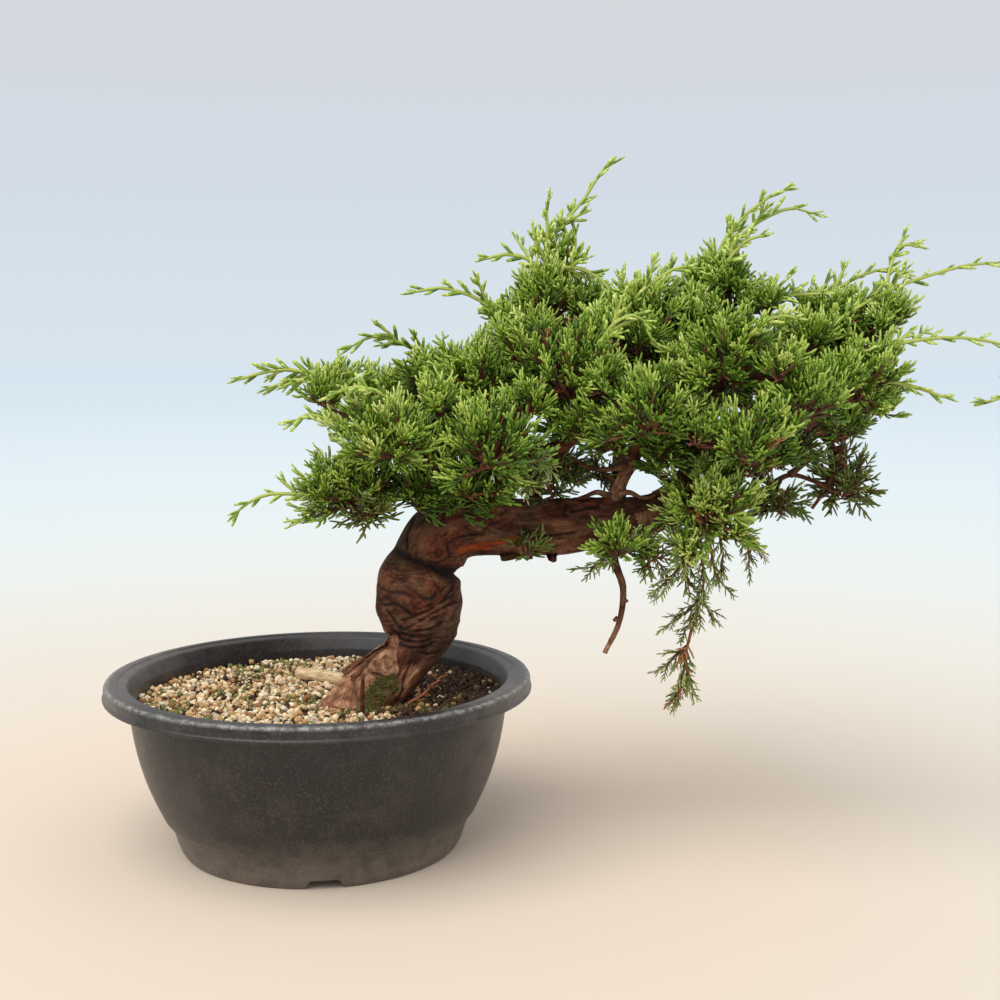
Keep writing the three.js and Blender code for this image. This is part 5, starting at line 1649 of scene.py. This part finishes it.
def spray_meshes(sprays, moulds, random):
    """Points, faces and looks of all sprays of a mass."""
    sprays = np.array(sprays, float)
    frames = spray_frames(sprays[:, 3:6], random)
    choice = random.integers(0, SPRAY_KINDS, len(sprays))
    tones = np.where(sprays[:, 7] == DRY, DRY, np.clip(np.round(sprays[:, 7]), 0, 4)).astype(int)
    parts = []
    for kind, shapes in enumerate(moulds):
        for k, (points, faces, part) in enumerate(shapes):
            chosen = (choice == k) & (sprays[:, 8] == kind)
            if not chosen.any():
                continue
            placed = np.einsum("nij,vj->nvi", frames[chosen], points) * sprays[chosen, 6][:, None, None]
            placed += sprays[chosen, None, :3]
            looks = np.array(TONES[kind == OPEN])[tones[chosen]][:, part]
            parts.append((*many(placed, faces), looks.ravel()))
    return parts


def line_meshes(lines, sides):
    """Points, faces and number of faces a line, of twigs or shoots with the same number of places."""
    parts = []
    for stations in sorted({len(places) for places, _ in lines}):
        chosen = [(places, radii) for places, radii in lines if len(places) == stations]
        paths = np.array([places for places, _ in chosen])
        radii = np.array([radii for _, radii in chosen])
        points, faces = cords(paths, radii, sides)
        parts.append((*many(points, faces), len(faces)))
    return parts


def stacked(parts):
    """One mesh from (points, faces, looks) of many."""
    starts = np.cumsum([0] + [len(part[0]) for part in parts])
    points = np.vstack([part[0] for part in parts])
    faces = np.vstack([part[1] + start for part, start in zip(parts, starts)])
    looks = np.concatenate([part[2] for part in parts])
    return points, faces, looks


def make_foliage(greens, twig_barks):
    """Grows every mass and clump and joins the sprays into pieces, with the twigs in a piece of their own."""
    random = np.random.default_rng(3)
    moulds = [[make(random) for _ in range(SPRAY_KINDS)] for make in (dense_spray, sprig_spray, open_spray)]
    twigs = []
    pending, names, held = [], [], 0
    number = 1
    for index, mass in enumerate(MASSES + [clump(*row) for row in CLUMPS]):
        growth = grow_mass(mass, index)
        parts = spray_meshes(growth.sprays, moulds, random)
        for points, faces, _ in line_meshes(growth.shoots, 5):
            parts.append((points, faces, np.full(len(faces), STEM_LOOK)))
        for points, faces, each in line_meshes(growth.twigs, 4):
            looks = random.integers(0, len(twig_barks), len(faces) // each).repeat(each)
            twigs.append((points, faces, looks))
        size = sum(len(part[1]) for part in parts)
        if held + size > MOST_TRIANGLES:
            finish_foliage(number, pending, names, greens)
            pending, names, held = [], [], 0
            number += 1
        pending += parts
        names += [mass["name"]] if "name" in mass else []
        held += size
    finish_foliage(number, pending, names, greens)
    points, faces, looks = stacked(twigs)
    dress(build("twigs", points, [faces], twig_barks, looks), "bark")


def finish_foliage(number, parts, names, greens):
    """Makes one piece of sprays, which stands for the named masses."""
    points, faces, looks = stacked(parts)
    dress(build(f"sprays_{number}", points, [faces], greens, looks), "foliage", *names)


# Stage


def make_floor():
    """Pale seamless paper that turns from cream near the pot to a pale blue-grey far from it."""
    made, tree, _ = material("pale_paper", 0.9, "#f3ebdf", Specular_IOR_Level=0.05)
    shader = tree.nodes["Principled BSDF"]
    place = node(tree, "ShaderNodeTexCoord").outputs["Object"]
    away = node(tree, "ShaderNodeVectorMath", {0: place}, operation="LENGTH").outputs["Value"]
    share = node(tree, "ShaderNodeMath", {0: away, 1: 2.0}, operation="LOGARITHM")
    far = node(tree, "ShaderNodeMapRange", {"Value": share.outputs[0], "From Min": -2.0, "From Max": 4.0})
    colour = node(tree, "ShaderNodeValToRGB", {0: far.outputs[0]},
                  stops=[(0.0, "#d8c8b5"), (0.2, "#d2ccc0"), (0.38, "#ced3d0"), (0.55, "#c6d1d4"),
                         (0.8, "#bcc8cf"), (1.0, "#b8c5cc")])
    tree.links.new(colour.outputs["Color"], shader.inputs["Base Color"])
    size = 60000
    corners = np.array([[-size, -size, 0], [size, -size, 0], [size, size, 0], [-size, size, 0]])
    build("floor", corners, [np.array([[0, 1, 2, 3]])], [made])


def make_sky():
    """A soft sky, pale blue over the horizon and greyer higher up."""
    world = bpy.data.worlds.new("studio")
    bpy.context.scene.world = world
    world.use_nodes = True
    tree = world.node_tree
    direction = node(tree, "ShaderNodeTexCoord").outputs["Generated"]
    height = node(tree, "ShaderNodeSeparateXYZ", {0: direction}).outputs["Z"]
    sky = node(tree, "ShaderNodeValToRGB", {0: height},
               stops=[(0.0, "#d9e5ed"), (0.12, "#d3dce6"), (0.25, "#d6d7dd"), (0.6, "#d9d9dc")])
    background = tree.nodes["Background"]
    tree.links.new(sky.outputs["Color"], background.inputs["Color"])
    background.inputs["Strength"].default_value = 1.0


def make_lamps():
    """A soft key light from high on the left, and a weak fill from the right."""
    for name, way, angle, strength in [("key", (-0.5, -0.6, 1.2), 60, 2.3),
                                       ("fill", (0.7, -1.0, 0.4), 100, 0.8)]:
        lamp = bpy.data.lights.new(name, "SUN")
        lamp.angle = math.radians(angle)
        lamp.energy = strength
        holder = bpy.data.objects.new(name, lamp)
        bpy.context.scene.collection.objects.link(holder)
        holder.rotation_mode = "QUATERNION"
        holder.rotation_quaternion = Vector(way).to_track_quat("Z", "Y")


def make_camera():
    """The camera at the photograph's viewing angle."""
    lens = bpy.data.cameras.new("camera")
    lens.lens = CAMERA_LENS
    lens.sensor_width = 36
    holder = bpy.data.objects.new("camera", lens)
    bpy.context.scene.collection.objects.link(holder)
    holder.location = [value * MM for value in CAMERA_PLACE]
    holder.rotation_euler = (math.radians(CAMERA_TILT), 0, 0)
    bpy.context.scene.camera = holder


make_camera()
make_floor()
make_sky()
make_lamps()
bpy.context.scene.view_settings.view_transform = "Standard"
make_pot(moulded_polypropylene())
make_soil(damp_soil())
make_grains(plain_row("crushed_stone", 0.85, GRAIN_COLOURS))
bark_finish = juniper_bark()
deadwood_finish = peeled_deadwood()
trunk_skin = make_trunk(bark_finish)
make_boughs(bark_finish)
make_flaps(bark_finish, trunk_skin)
make_moss(trunk_skin, plain_row("moss", 0.9, ["#33260f", "#4a461a", "#635d26", "#837b46"]))
make_stick(bark_finish)
make_dead_twig(bark_finish, deadwood_finish)
make_peeled_root(deadwood_finish)
make_foliage(
    plain_row("scale_leaf", 0.42, LEAF_COLOURS),
    plain_row("twig_bark", 0.75, ["#4a2819", "#6a3822", "#865032"]),
)
